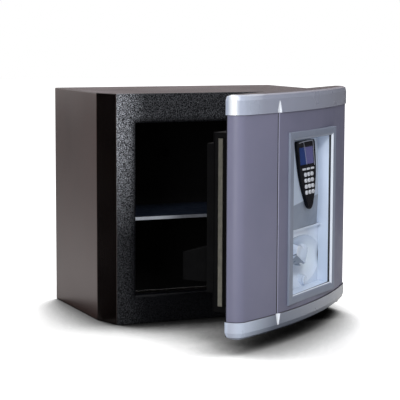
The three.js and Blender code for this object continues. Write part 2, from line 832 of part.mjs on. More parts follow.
function addSkins(group) {
  const shell = doorPrism(doorPlan(capProud), skinSpan)
    .subtract(doorPrism(
      doorPlan(capProud + skinThickness, -overrun),
      [skinSpan[0] - overrun, skinSpan[1] + overrun],
    ));
  const reach = [-overrun, doorEndThickness + doorBow + overrun];
  const tall = [skinSpan[0] - overrun, skinSpan[1] + overrun];
  const seamLeft = seamAcross - seamWidth / 2;
  const seamRight = seamAcross + seamWidth / 2;
  const left = shell.intersect(doorBlock([-doorHalf - overrun, seamLeft], reach, tall));
  addNode(group, 'door_skin_left', doorGrey, left);
  const hole = windowCorners(
    { left: windowLeft, right: windowRight, bottom: windowBottom, top: windowTop },
    bezelSkirtOut + fitGap,
  );
  const earSlot = doorBlock(
    [plateHingeEdge, doorHalf + overrun],
    [-overrun, earSlotDepth],
    [upperEarBottom - earSlotMargin, upperEarBottom + earThickness + earSlotMargin],
  );
  const face = bowOut(seamAcross) - capProud;
  const bevel = doorPrism([
    [seamRight - fitGap, face - seamBevel - fitGap],
    [seamRight + seamBevel + overrun, face + overrun],
    [seamRight - fitGap, face + overrun],
  ], tall);
  const right = shell.intersect(doorBlock([seamRight, doorHalf + overrun], reach, tall))
    .subtract(bevel)
    .subtract(facePrism(hole, [endCentreOut, doorEndThickness + doorBow + overrun]))
    .subtract(earSlot);
  addNode(group, 'door_skin_right', doorGrey, right);
  const stripInset = capProud + skinThickness + fitGap;
  const strip = doorPrism(doorPlan(stripInset), skinSpan)
    .subtract(doorPrism(doorPlan(stripInset + seamStripThickness, -overrun), tall))
    .intersect(doorBlock(
      [seamAcross - seamStripWidth / 2, seamAcross + seamStripWidth / 2],
      [endCentreOut, doorEndThickness + doorBow],
      tall,
    ));
  addNode(group, 'seam_strip', glossBlack, strip);
}

function addBezel(group) {
  const opening = { left: windowLeft, right: windowRight, bottom: windowBottom, top: windowTop };
  const bevelBack = bezelFace - bezelBevelDepth;
  const inner = { drop: bezelLeftDrop };
  const rear = { left: bezelLeftExtra, right: bezelRightExtra };
  const outer = { ...rear, ...inner };
  const section = [
    [0, -bevelBack, inner],
    [0, -(bevelBack - bezelLip), inner],
    [bezelSkirtIn, -(bevelBack - bezelLip), inner],
    [bezelSkirtIn, -bezelSkirtBack],
    [bezelSkirtOut, -bezelSkirtBack],
    [bezelSkirtOut, -bezelBack],
    [bezelBorder, -bezelBack, rear],
    [bezelBorder, -(bezelFace - bezelEdge), outer],
    [bezelBorder - bezelEdge, -bezelFace, outer],
    [bezelBevelWidth, -bezelFace, inner],
  ];
  const skirtHole = facePrism(windowCorners(opening, bezelSkirtOut), [0, bezelFace + overrun]);
  const skin = doorPrism(doorPlan(capProud - fitGap), [skinBottom - overrun, skinTop + overrun]);
  addNode(group, 'window_bezel', bezelGrey, windowFrame(opening, section).subtract(skin.subtract(skirtHole)));
}

// The bowl behind the handle, cut off at the lower floor.
function bowl(grow) {
  const geometry = new THREE.SphereGeometry(1, bowlSegments, bowlRings);
  geometry.scale(bowlHalfWidth + grow, bowlHalfDepth + grow, bowlHalfHeight + grow);
  geometry.translate(handleAcross, -bowlCentreOut, (windowBottom + ribBottom) / 2 - bowlDrop);
  const below = doorBlock(
    [windowLeft - bezelBorder, windowRight + bezelBorder],
    [0, lowerFloor],
    [windowBottom - bezelBorder, ribTop],
  );
  return solid(geometry).intersect(below);
}

function addRecessLiner(group) {
  const opening = { left: windowLeft, right: windowRight, bottom: windowBottom, top: windowTop };
  const outer = windowBlock(opening, [[linerWall, -linerRim], [linerWall - linerDraft, -linerBack]]);
  const cavity = windowBlock(opening, [
    [linerDraft / 4, -(linerRim + overrun)],
    [-linerDraft, -linerFloor],
  ]);
  const wide = [windowLeft - overrun, windowRight + overrun];
  const rib = doorBlock(wide, [linerBack, ribOut], [ribBottom, ribTop]);
  const lower = doorBlock(wide, [linerBack, lowerFloor], [windowBottom - overrun, ribBottom + fitGap]);
  const backCut = doorBlock(
    [windowLeft + linerBackMargin, windowRight - linerBackMargin],
    [linerBack - overrun, lowerFloor - linerWall],
    [windowBottom + linerBackMargin, ribBottom - linerWall],
  );
  const through = [-overrun, linerRim];
  const liner = outer.subtract(cavity.subtract(rib).subtract(lower))
    .subtract(backCut)
    .add(bowl(linerWall).intersect(outer.add(backCut)))
    .subtract(bowl(0))
    .add(doorRod(lockAcross, lockHeight, lockBossRadius, [linerBack, lowerFloor], lockSegments).intersect(outer))
    .subtract(doorRod(handleAcross, handleHeight, bushFlangeRadius - fitGap, through, lockSegments))
    .subtract(doorRod(lockAcross, lockHeight, lockBarrelRadius + fitGap, through, lockSegments))
    .subtract(doorRod(keypadAcross, housingCrease, cableHoleRadius, through, lockSegments));
  addNode(group, 'recess_liner', recessWhite, liner);
}

// What the housing's lower face leaves off. Its crease with the upper face rises to the right.
function lowerFaceCut() {
  const height = housingCrease + creaseRise;
  const out = creaseOut - creaseRise * Math.tan(tilt);
  const lean = THREE.MathUtils.radToDeg(Math.atan2(out - housingBottomOut, height - housingBottom));
  const far = housingTop - housingBottom;
  return block([-far, far], [-far, 0], [-far, far]).rotate([lean, -creaseTurn, 0]).translate([0, -out, height]);
}

function addKeypadHousing(group) {
  const left = windowLeft + housingSideGap;
  const right = windowRight - housingSideGap;
  const base = linerFloor + fitGap;
  const section = [
    [base, housingTop],
    [housingTopOut, housingTop],
    [creaseOut + (housingCrease - housingBottom) * Math.tan(tilt), housingBottom],
    [base, housingBottom],
  ];
  const wedge = sideProfile(section, [left, right]).subtract(lowerFaceCut());
  const slope = (creaseOut - housingChamferEndOut) / (right - housingChamferStart);
  const farOut = creaseOut + slope * (housingChamferStart - windowLeft);
  const chamfer = doorPrism(
    [[windowLeft, farOut], [right + overrun, housingChamferEndOut - slope * overrun], [right + overrun, farOut]],
    [housingBottom - overrun, housingTop + overrun],
  );
  const inner = [
    [base - overrun, housingTop - housingWall],
    [housingTopOut - housingRoof, housingTop - housingWall],
    [creaseOut - housingRoof, housingCrease],
    [housingBottomOut - housingRoof, housingBottom + housingWall],
    [base - overrun, housingBottom + housingWall],
  ];
  const hollow = sideProfile(inner, [left + housingWall, housingChamferStart]);
  const pocket = boardShape(boardPocketInset, boardPocketBottom, [-boardPocketDepth, overrun]);
  const housing = wedge.subtract(chamfer).subtract(hollow).subtract(onKeypadPlane(pocket));
  addNode(group, 'keypad_housing', housingGrey, housing);
}

// A prism across the door, from its side profile of [out, up] points.
function sideProfile(points, [left, right]) {
  const shape = new THREE.Shape(points.map(([out, up]) => new THREE.Vector2(-out, up)));
  const geometry = new THREE.ExtrudeGeometry(shape, { depth: right - left, bevelEnabled: false });
  geometry.rotateX(Math.PI / 2);
  geometry.rotateZ(Math.PI / 2);
  geometry.translate(left, 0, 0);
  return solid(geometry);
}

// Moves a solid from the keypad's own frame to the door's frame.
function onKeypadPlane(shape) {
  return shape.rotate([-keypadTilt, 0, 0]).translate([keypadAcross, -creaseOut, housingCrease]);
}

// The keypad's outline as [across, up] points, wide at the top and narrow at its foot.
function keypadOutline(inset) {
  const scale = (keypadHalfWidth - inset) / keypadHalfWidth;
  const side = keypadOutlineShares.map(([drop, width]) => [
    width * keypadHalfWidth * scale,
    keypadTop - inset - drop * (keypadHeight - 2 * inset),
  ]);
  const foot = [0, keypadTop - keypadHeight + inset];
  return [...side, foot, ...side.map(([across, up]) => [-across, up]).reverse()];
}

// The circuit board's shape, cut off level at its foot, between two depths.
function boardShape(inset, bottom, [out0, out1]) {
  return facePrism(keypadOutline(inset), [out0, out1]).intersect(facePrism([
    [-keypadHalfWidth, bottom],
    [keypadHalfWidth, bottom],
    [keypadHalfWidth, keypadTop],
    [-keypadHalfWidth, keypadTop],
  ], [out0, out1]));
}

// The keypad's body, with its front edge bevelled all round.
function keypadBody() {
  const levels = [[0, fitGap], [0, keypadThickness - keypadEdge], [keypadEdge, keypadThickness + fitGap]];
  const outlines = levels.map(([inset]) => keypadOutline(inset));
  const body = stack(outlines, levels.map(([, level]) => level));
  return body.rotate([90, 0, 0]);
}

// Every key's name, place and size on the keypad.
function keyLayout() {
  const names = ['1', '2', '3', '4', '5', '6', '7', '8', '9', 'star', '0', 'hash'];
  const keys = [];
  for (let row = 0; row < keyRows; row += 1) {
    for (let column = 0; column < keyColumns; column += 1) {
      const across = (column - (keyColumns - 1) / 2) * keyPitchAcross;
      const up = keypadTop - firstRowDrop - row * keyPitchUp;
      const name = `key_${names[row * keyColumns + column]}`;
      keys.push({ name, across, up, width: keyWidth, height: keyHeight });
    }
  }
  ['left', 'middle', 'right'].forEach((name, column) => {
    const across = (column - (keyColumns - 1) / 2) * functionPitchAcross;
    const up = keypadTop - functionRowDrop;
    keys.push({ name: `function_key_${name}`, across, up, width: functionKeyWidth, height: functionKeyHeight });
  });
  return keys;
}

// A key's outline with its corners cut off, as [across, up] points.
function keyOutline({ across, up, width, height }, grow) {
  const halfWidth = width / 2 + grow;
  const halfHeight = height / 2 + grow;
  const cut = height * keyCornerShare;
  return [
    [across - halfWidth + cut, up - halfHeight], [across + halfWidth - cut, up - halfHeight],
    [across + halfWidth, up - halfHeight + cut], [across + halfWidth, up + halfHeight - cut],
    [across + halfWidth - cut, up + halfHeight], [across - halfWidth + cut, up + halfHeight],
    [across - halfWidth, up + halfHeight - cut], [across - halfWidth, up - halfHeight + cut],
  ];
}

function addKeypad(group) {
  const pad = new THREE.Group();
  pad.position.set(keypadAcross, -creaseOut, housingCrease);
  pad.rotation.x = -tilt;
  group.add(pad);
  const front = keypadThickness + fitGap;
  const screenTop = keypadTop - screenDrop;
  const screenUp = [screenTop - screenHeight, screenTop];
  const screenBack = front - screenThickness;
  const pocket = block(
    [screenAcross - screenWidth / 2 - fitGap, screenAcross + screenWidth / 2 + fitGap],
    [-(front + overrun), -(screenBack - fitGap)],
    [screenUp[0] - fitGap, screenUp[1] + fitGap],
  );
  let body = keypadBody().subtract(pocket);
  const keyBack = -boardPocketDepth + boardThickness + keyTravel + 2 * fitGap;
  keyLayout().forEach((key) => {
    body = body.subtract(facePrism(keyOutline(key, keyClearance), [-overrun, front + overrun]));
    const levels = [keyBack, front + keyProud - keyCrownHeight, front + keyProud];
    const outlines = [keyOutline(key, 0), keyOutline(key, 0), keyOutline(key, -keyCrownInset)];
    addNode(pad, key.name, keySilver, stack(outlines, levels).rotate([90, 0, 0]));
  });
  addNode(pad, 'keypad_body', glossBlack, body);
  const screenSides = [screenAcross - screenWidth / 2, screenAcross + screenWidth / 2];
  const screen = block(screenSides, [-front, -screenBack], screenUp);
  addNode(pad, 'screen', screenBlue, screen);
  const boardBack = -boardPocketDepth + fitGap;
  const board = boardShape(
    boardPocketInset + fitGap, boardPocketBottom + fitGap, [boardBack, boardBack + boardThickness],
  );
  addNode(pad, 'keypad_board', boardGreen, board);
}

// An outline of the lever from shares of its reach, as [across, up, out] points at its rest angle.
function leverOutline(shares, outAt) {
  const turn = THREE.MathUtils.degToRad(leverAngle);
  return shares.map(([alongShare, widthShare]) => {
    const along = alongShare * leverReach;
    const width = widthShare * leverReach;
    const across = handleAcross + along * Math.cos(turn) - width * Math.sin(turn);
    const up = handleHeight + along * Math.sin(turn) + width * Math.cos(turn);
    return [across, up, outAt(along)];
  });
}

// Triangles that close a ring of [across, up] points, the first of which has the number given.
function ringCap(ring, first) {
  const contour = ring.map(([across, up]) => new THREE.Vector2(across, up));
  return THREE.ShapeUtils.triangulateShape(contour, []).map((face) => face.map((index) => first + index));
}

// The lever, a wedge whose crown is smaller than its base and rises towards its end.
function lever() {
  const slope = (leverReachOut - leverTailOut) / (leverReach + leverTail);
  const base = leverOutline(leverBaseShares, () => leverBack);
  const crown = leverOutline(leverCrownShares, (along) => leverTailOut + slope * (along + leverTail));
  const points = [...base, ...crown].map(([across, up, out]) => [across, -out, up]);
  const walls = ringWalls(2, base.length, false);
  const turned = THREE.ShapeUtils.isClockWise(base.map(([across, up]) => new THREE.Vector2(across, up)));
  const baseCap = ringCap(base, 0).map(([i, j, k]) => (turned ? [i, j, k] : [k, j, i]));
  const crownCap = ringCap(crown, base.length).map(([i, j, k]) => (turned ? [k, j, i] : [i, j, k]));
  return closedMesh(points, [...walls, ...baseCap, ...crownCap]);
}

function addHandle(group) {
  const rim = hubFront - hubEdge;
  const hub = doorRod(handleAcross, handleHeight, hubRadius, [hubBack, rim], hubSegments)
    .add(doorRod(handleAcross, handleHeight, hubRadius, [rim, hubFront], hubSegments, hubRadius - hubEdge));
  const reach = [hubBack - overrun, spindleFront + fitGap];
  const socket = doorRod(handleAcross, handleHeight, spindleRadius + fitGap, reach, spindleSegments);
  addNode(group, 'handle', recessWhite, hub.add(lever()).subtract(socket));
}

function addSpindle(group) {
  const discBack = discFront + discThickness;
  const spindle = doorRod(handleAcross, handleHeight, spindleRadius, [-discBack, spindleFront], spindleSegments);
  addNode(group, 'spindle', zincSteel, spindle);
  const bore = doorRod(
    handleAcross, handleHeight, spindleRadius + fitGap, [-discBack - overrun, overrun + bushFlange + overrun], spindleSegments,
  );
  const bush = doorRod(handleAcross, handleHeight, bushRadius, [-bushRear, plateThickness + 2 * fitGap], hubSegments)
    .add(doorRod(
      handleAcross, handleHeight, bushFlangeRadius,
      [plateThickness + fitGap, plateThickness + fitGap + bushFlange], hubSegments,
    ))
    .subtract(bore);
  addNode(group, 'spindle_bush', brass, bush);
  const crankAngle = THREE.MathUtils.degToRad(crankRestAngle);
  const crankPin = doorRod(
    handleAcross + crankRadius * Math.cos(crankAngle),
    handleHeight + crankRadius * Math.sin(crankAngle),
    crankPinRadius,
    [-crankPinEnd, -discBack + fitGap],
    pinSegments,
  );
  const disc = doorRod(handleAcross, handleHeight, discRadius, [-discBack, -discFront], discSegments)
    .add(crankPin)
    .subtract(bore);
  addNode(group, 'drive_disc', zincSteel, disc);
}

function addSolenoid(group) {
  const sides = [solenoidAcross - solenoidWidth / 2, solenoidAcross + solenoidWidth / 2];
  const centreOut = -(solenoidFront + solenoidBack) / 2;
  const bore = uprightRod(
    solenoidAcross, -centreOut, plungerRadius + fitGap, [solenoidBottom - overrun, plungerTop + fitGap], pinSegments,
  );
  const body = doorBlock(sides, [-solenoidBack, -solenoidFront], [solenoidBottom, solenoidTop])
    .add(doorBlock(sides, [-solenoidBack, -fitGap], [solenoidTop - solenoidFoot, solenoidTop]))
    .subtract(bore);
  addNode(group, 'solenoid_body', zincSteel, body);
  const plunger = uprightRod(
    solenoidAcross, -centreOut, plungerRadius, [armTop + fitGap, plungerTop], pinSegments,
  );
  addNode(group, 'solenoid_plunger', zincSteel, plunger);
}

function addKeyLock(group) {
  const rod = (radius, reach) => doorRod(lockAcross, lockHeight, radius, reach, lockSegments);
  const body = rod(lockBarrelRadius, [-lockBarrelBack, lockFlangeBack + fitGap])
    .add(rod(lockFlangeRadius, [lockFlangeBack, lockFlangeFront]))
    .subtract(rod(lockPlugRadius + fitGap, [-lockBarrelBack - overrun, lockFlangeFront + overrun]));
  addNode(group, 'lock_cylinder', recessWhite, body);
  const camFront = lockBarrelBack + fitGap;
  const camBack = camFront + lockCamThickness;
  const keyway = doorBlock(
    [lockAcross - keywayWidth / 2, lockAcross + keywayWidth / 2],
    [lockFlangeFront - keywayDepth, lockFlangeFront + overrun],
    [lockHeight - keywayHeight / 2, lockHeight + keywayHeight / 2],
  );
  const cam = doorBlock(
    [lockAcross - lockCamWidth / 2, lockAcross + lockCamWidth / 2],
    [-camBack, -camFront],
    [lockHeight, lockHeight + lockCamReach],
  );
  const plug = rod(lockPlugRadius, [-camBack, lockFlangeFront - fitGap]).add(cam).subtract(keyway);
  addNode(group, 'lock_plug', recessWhite, plug);
}

function addBatteryBox(group) {
  const front = -coverFaceBack - fitGap;
  const back = front - batteryDepth;
  const across = [batteryLeft, batteryLeft + batteryWidth];
  const top = batteryBottom + batteryHeight;
  const outer = [[front, batteryBottom], [front, top + batteryRise], [back, top], [back, batteryBottom]];
  const inner = [
    [front - batteryWall, batteryBottom + batteryWall],
    [front - batteryWall, top + batteryRise - 2 * batteryWall],
    [back - overrun, top - batteryWall],
    [back - overrun, batteryBottom + batteryWall],
  ];
  const tray = sideProfile(outer, across)
    .subtract(sideProfile(inner, [across[0] + batteryWall, across[1] - batteryWall]));
  addNode(group, 'battery_box', blackPlastic, tray);
  const coverFront = back - fitGap;
  const cover = doorBlock(across, [coverFront - batteryCoverSheet, coverFront], [batteryBottom, top]);
  addNode(group, 'battery_cover', blackPlastic, cover);
}

// The door's frame: its back plane is y = 0, with x across and z up from the cabinet's base.
function addDoor(group) {
  const hinge = new THREE.Group();
  hinge.position.set(pivotAcross, pivotY, 0);
  hinge.rotation.z = THREE.MathUtils.degToRad(openAngle);
  const door = new THREE.Group();
  door.position.set(-pivotAcross, doorBack - pivotY, 0);
  hinge.add(door);
  group.add(hinge);
  addDoorPlate(door);
  addHingeBlocks(door);
  addLockBox(door);
  addMechanismCover(door);
  addLockingBar(door);
  addBarGuides(door);
  addSolenoid(door);
  addBatteryBox(door);
  addSkins(door);
  addCaps(door);
  addBezel(door);
  addRecessLiner(door);
  addKeypadHousing(door);
  addKeypad(door);
  addHandle(door);
  addSpindle(door);
  addKeyLock(door);
}

const safe = new THREE.Group();
addCabinetShell(safe);
addBackPanel(safe);
addFrontFrame(safe);
addShelf(safe);
addHingeEars(safe);
addDoor(safe);
safe.updateMatrixWorld(true);

export default safe;
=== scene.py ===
"""Looks, light and camera for the electronic home safe.

Lengths are in metres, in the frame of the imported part. The fine strips' outlines are in millimetres.
"""

import json
import math

import bmesh
import bpy
from mathutils import Matrix, Vector


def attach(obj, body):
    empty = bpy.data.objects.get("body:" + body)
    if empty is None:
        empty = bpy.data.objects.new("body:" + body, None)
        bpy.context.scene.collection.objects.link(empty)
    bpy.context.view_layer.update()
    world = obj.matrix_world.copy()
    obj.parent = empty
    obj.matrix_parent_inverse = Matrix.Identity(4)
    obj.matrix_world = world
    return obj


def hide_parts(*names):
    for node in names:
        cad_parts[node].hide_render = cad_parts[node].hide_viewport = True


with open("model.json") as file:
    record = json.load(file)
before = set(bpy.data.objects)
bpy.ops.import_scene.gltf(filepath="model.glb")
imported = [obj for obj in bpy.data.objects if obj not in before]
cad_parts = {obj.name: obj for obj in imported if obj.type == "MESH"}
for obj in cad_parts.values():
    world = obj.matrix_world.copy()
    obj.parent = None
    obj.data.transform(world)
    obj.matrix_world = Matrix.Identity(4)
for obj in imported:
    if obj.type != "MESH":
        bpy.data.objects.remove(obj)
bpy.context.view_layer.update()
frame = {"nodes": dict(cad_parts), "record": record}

# Sizes and places of the part. WINDOW and FRAME_OPENING go left, right, bottom, top; SEAM is across and out.

MM = 0.001
BEHAVIOUR = frame["record"]["behaviour"]
DOOR_SWING = next(joint for joint in BEHAVIOUR["joints"] if joint["name"] == "door_swing")
OPEN_ANGLE = -math.radians(DOOR_SWING["range_deg"][0])
PIVOT = Vector((*DOOR_SWING["pos_m"][:2], 0.0))
DOOR_BACK = -0.1545
DOOR_HALF = 0.2255
WINDOW = (-0.0753, 0.0902, 0.0775, 0.3465)
WINDOW_LEFT_DROP = 0.0028
SEAM = (-0.1262, 0.04532)
SEAM_SPAN = (0.0545, 0.3963)
NOTCH_ACROSS = -0.128
NOTCH_REACH = 0.009
NOTCH_SPAN = (0.0365, 0.4177)
FRAME_OPENING = (-0.177, 0.122, 0.054, 0.365)
FRAME_ROLL = 0.014
HOUSING_TOP = 0.3435
HOUSING_TOP_OUT = 0.037
KEYPAD_TILT = math.radians(5.0)
CREASE_HEIGHT = 0.232
CREASE_OUT = HOUSING_TOP_OUT + (HOUSING_TOP - CREASE_HEIGHT) * math.tan(KEYPAD_TILT)
KEYPAD_ACROSS = 0.0015
KEYPAD_FRONT = 0.0063
KEYPAD_TOP = 0.110026
KEY_FRONT = 0.0076
KEY_PITCH_ACROSS = 0.0145
KEY_PITCH_UP = 0.0105
FIRST_ROW = 0.060
FUNCTION_ROW = 0.0503
FUNCTION_PITCH = 0.0185


def door_matrix():
    """From the shut door's own frame, x across, y inwards from its back and z up, to the part's frame."""
    swing = Matrix.Translation(PIVOT) @ Matrix.Rotation(OPEN_ANGLE, 4, "Z")
    return swing @ Matrix.Translation((-PIVOT.x, DOOR_BACK - PIVOT.y, 0.0))


def keypad_matrix():
    """From the keypad's own frame, x across, y into the housing and z up its face, to the part's frame."""
    place = Matrix.Translation((KEYPAD_ACROSS, -CREASE_OUT, CREASE_HEIGHT))
    return door_matrix() @ place @ Matrix.Rotation(-KEYPAD_TILT, 4, "X")


# Materials. The scales of noise and cells are in cycles for each metre.

WHITE = (1.0, 1.0, 1.0, 1.0)
BLACK = (0.0, 0.0, 0.0, 1.0)
WARM_GLOSS = (1.0, 0.8, 0.76, 1.0)
FINE_GRAIN = 900.0
GLOSSIER_SHARE = 0.85
DULLER_SHARE = 1.15
BRUSHED_GLOSSIER_SHARE = 0.8
BRUSHED_DULLER_SHARE = 1.25
SHEEN_SHARE = 2.3
MIX_SOCKETS = (6, 7)
MIX_RESULT = 2


def linear(red, green, blue):
    """A colour from its 0 to 255 display values."""
    values = []
    for value in (red, green, blue):
        share = value / 255.0
        values.append(share / 12.92 if share <= 0.04045 else ((share + 0.055) / 1.055) ** 2.4)
    return (values[0], values[1], values[2], 1.0)


def combined(tree, operation, first, second):
    """What a maths node makes of two values."""
    node = tree.nodes.new("ShaderNodeMath")
    node.operation = operation
    tree.links.new(first, node.inputs[0])
    tree.links.new(second, node.inputs[1])
    return node.outputs["Value"]


def ray_is(tree, *kinds):
    """1 for a ray of any of these kinds, and 0 for another."""
    path = tree.nodes.new("ShaderNodeLightPath")
    found = path.outputs[f"Is {kinds[0]} Ray"]
    for kind in kinds[1:]:
        found = combined(tree, "MAXIMUM", found, path.outputs[f"Is {kind} Ray"])
    return found


class Surface:
    """A node material that starts as a Principled shader on object coordinates."""

    def __init__(self, name, roughness=0.5, metallic=0.0, specular=0.5, coat=0.0, coat_roughness=0.05):
        self.material = bpy.data.materials.new(name)
        self.material.use_nodes = True
        self.tree = self.material.node_tree
        self.nodes = self.tree.nodes
        self.links = self.tree.links
        self.shader = self.nodes["Principled BSDF"]
        self.shader.inputs["Roughness"].default_value = roughness
        self.shader.inputs["Metallic"].default_value = metallic
        self.shader.inputs["Specular IOR Level"].default_value = specular
        self.shader.inputs["Coat Weight"].default_value = coat
        self.shader.inputs["Coat Roughness"].default_value = coat_roughness
        self.place = self.nodes.new("ShaderNodeTexCoord")
        self.relief = None

    def mapped(self, scale):
        """Object coordinates stretched by a scale along each axis."""
        node = self.nodes.new("ShaderNodeMapping")
        node.inputs["Scale"].default_value = scale
        self.links.new(self.place.outputs["Object"], node.inputs["Vector"])
        return node.outputs["Vector"]

    def noise(self, scale, detail=4.0, rough=0.55, stretch=None):
        """Soft noise around one half."""
        node = self.nodes.new("ShaderNodeTexNoise")
        node.inputs["Scale"].default_value = scale
        node.inputs["Detail"].default_value = detail
        node.inputs["Roughness"].default_value = rough
        source = self.mapped(stretch) if stretch else self.place.outputs["Object"]
        self.links.new(source, node.inputs["Vector"])
        return node.outputs["Fac"]

    def cells(self, scale, smooth):
        """The distance from the middle of round cells."""
        node = self.nodes.new("ShaderNodeTexVoronoi")
        node.feature = "SMOOTH_F1"
        node.inputs["Scale"].default_value = scale
        node.inputs["Smoothness"].default_value = smooth
        self.links.new(self.place.outputs["Object"], node.inputs["Vector"])
        return node.outputs["Distance"]

    def spread(self, source, low, high, start=0.3, end=0.7):
        """A value that goes from low to high while the source goes from start to end."""
        node = self.nodes.new("ShaderNodeMapRange")
        node.inputs["From Min"].default_value = start
        node.inputs["From Max"].default_value = end
        node.inputs["To Min"].default_value = low
        node.inputs["To Max"].default_value = high
        self.links.new(source, node.inputs["Value"])
        return node.outputs["Result"]

    def mix(self, factor, first, second):
        """A colour between two, which are colours or sockets."""
        node = self.nodes.new("ShaderNodeMix")
        node.data_type = "RGBA"
        self.links.new(factor, node.inputs["Factor"])
        for index, value in zip(MIX_SOCKETS, (first, second)):
            if isinstance(value, tuple):
                node.inputs[index].default_value = value
            else:
                self.links.new(value, node.inputs[index])
        return node.outputs[MIX_RESULT]

    def split(self):
        """The object coordinates one by one."""
        node = self.nodes.new("ShaderNodeSeparateXYZ")
        self.links.new(self.place.outputs["Object"], node.inputs["Vector"])
        return node.outputs

    def times(self, first, second):
        """The product of two values."""
        return combined(self.tree, "MULTIPLY", first, second)

    def larger(self, first, second):
        """The larger of two values."""
        return combined(self.tree, "MAXIMUM", first, second)

    def past(self, source, line, sign):
        """How far a value lies past a line, on its side of that sign."""
        node = self.nodes.new("ShaderNodeMath")
        node.operation = "MULTIPLY_ADD"
        node.inputs[1].default_value = sign
        node.inputs[2].default_value = -sign * line
        self.links.new(source, node.inputs[0])
        return node.outputs["Value"]

    def along(self, origin, direction, low, high):
        """How far a point lies along a direction, from 0 at low to 1 at high."""
        node = self.nodes.new("ShaderNodeVectorMath")
        node.operation = "DOT_PRODUCT"
        node.inputs[1].default_value = direction
        self.links.new(self.place.outputs["Object"], node.inputs[0])
        start = Vector(origin).dot(Vector(direction))
        return self.spread(node.outputs["Value"], 0.0, 1.0, start + low, start + high)

    def tones(self, source, dark, light):
        """Two tones mixed by a noise."""
        return self.mix(self.spread(source, 0.0, 1.0), dark, light)

    def colour(self, source):
        """Gives the shader its colour."""
        self.links.new(source, self.shader.inputs["Base Color"])

    def vary_roughness(self, source, low, high):
        """Gives the shader an uneven gloss."""
        self.links.new(self.spread(source, low, high), self.shader.inputs["Roughness"])

    def bump(self, source, strength, distance):
        """Gives the shader a relief, on top of any that it has."""
        node = self.nodes.new("ShaderNodeBump")
        node.inputs["Strength"].default_value = strength
        node.inputs["Distance"].default_value = distance
        self.links.new(source, node.inputs["Height"])
        if self.relief is not None:
            self.links.new(self.relief, node.inputs["Normal"])
        self.relief = node.outputs["Normal"]
        self.links.new(self.relief, self.shader.inputs["Normal"])


def painted(name, dark, light, roughness, grain=FINE_GRAIN, grain_depth=0.00002, patch=14.0, coat=0.0):
    """Sprayed paint or moulded plastic: two close tones in soft patches, a fine grain and uneven gloss."""
    surface = Surface(name, roughness=roughness, coat=coat)
    surface.colour(surface.tones(surface.noise(patch, 3.0), dark, light))
    sheen = surface.noise(patch * SHEEN_SHARE, 2.0)
    surface.vary_roughness(sheen, low=roughness * GLOSSIER_SHARE, high=roughness * DULLER_SHARE)
    surface.bump(surface.noise(grain, 2.0), strength=0.5, distance=grain_depth)
    return surface.material


def make_satin_black(name, dark, light, specular):
    """Black enamel with a warm tone and a slight wave in its surface."""
    surface = Surface(name, roughness=0.24, specular=specular)
    surface.colour(surface.tones(surface.noise(9.0, 3.0), dark, light))
    surface.shader.inputs["Specular Tint"].default_value = WARM_GLOSS
    surface.vary_roughness(surface.noise(5.0, 2.0), low=0.16, high=0.28)
    surface.bump(surface.noise(5.0, 2.0), strength=0.2, distance=0.001)
    surface.bump(surface.noise(700.0, 2.0), strength=0.3, distance=0.00002)
    return surface.material


# Where the hammered paint's painted glints are thickest, across and up.
HAMMER_GLINT_ACROSS = (-0.2125, -0.160)
HAMMER_GLINT_UP = (0.16, 0.33)
HAMMER_DIMPLE_SCALE = 620.0
BLISTER_SCALE = 950.0


def make_hammered():
    """Black hammered paint: small blisters, and painted glints in its colour that lie thickest high up on the
    left, where the light falls, and fewer on the rolled edges round the opening.
    """
    surface = Surface("hammered_black_paint", roughness=0.3, specular=0.1)
    grains = surface.cells(BLISTER_SCALE, smooth=0.1)
    soft = surface.noise(HAMMER_DIMPLE_SCALE, detail=2.0, rough=0.8)
    place = surface.split()
    leftward = surface.spread(place["X"], 1.0, 0.14, *HAMMER_GLINT_ACROSS)
    upward = surface.spread(place["Z"], 0.1, 1.0, *HAMMER_GLINT_UP)
    left, right, bottom, top = FRAME_OPENING
    beside = surface.larger(surface.past(place["X"], left, -1.0), surface.past(place["X"], right, 1.0))
    beyond = surface.larger(surface.past(place["Z"], bottom, -1.0), surface.past(place["Z"], top, 1.0))
    rolled = surface.spread(surface.larger(beside, beyond), 0.12, 1.0, 0.0, FRAME_ROLL)
    # Painted glints: light specks put in the colour, more towards the upper left and fewer near the opening.
    glint_spread = surface.times(surface.times(leftward, upward), rolled)
    painted_glints = surface.times(surface.spread(soft, low=0.0, high=1.0, start=0.46, end=0.68), glint_spread)
    blisters = surface.spread(grains, low=0.0, high=1.0, start=0.1, end=0.5)
    black = surface.mix(blisters, linear(8, 10, 15), linear(3, 3, 5))
    surface.colour(surface.mix(painted_glints, black, linear(222, 226, 236)))
    surface.vary_roughness(soft, low=0.22, high=0.42)
    surface.bump(soft, strength=0.5, distance=0.0006)
    surface.bump(grains, strength=0.5, distance=0.0004)
    return surface.material


def make_inner_black(name, dark, light, roughness, specular=0.12):
    """Flat black paint or plastic."""
    surface = Surface(name, roughness=roughness, specular=specular)
    surface.colour(surface.tones(surface.noise(40.0, 3.0), dark, light))
    sheen = surface.noise(120.0, 2.0)
    surface.vary_roughness(sheen, low=roughness * GLOSSIER_SHARE, high=roughness * DULLER_SHARE)
    surface.bump(surface.noise(FINE_GRAIN, 2.0), strength=0.4, distance=0.00004)
    return surface.material


CAP_AROUND = Vector((0.41, -0.91, 0.0))
CAP_FLAKE_SCALE = 2600.0


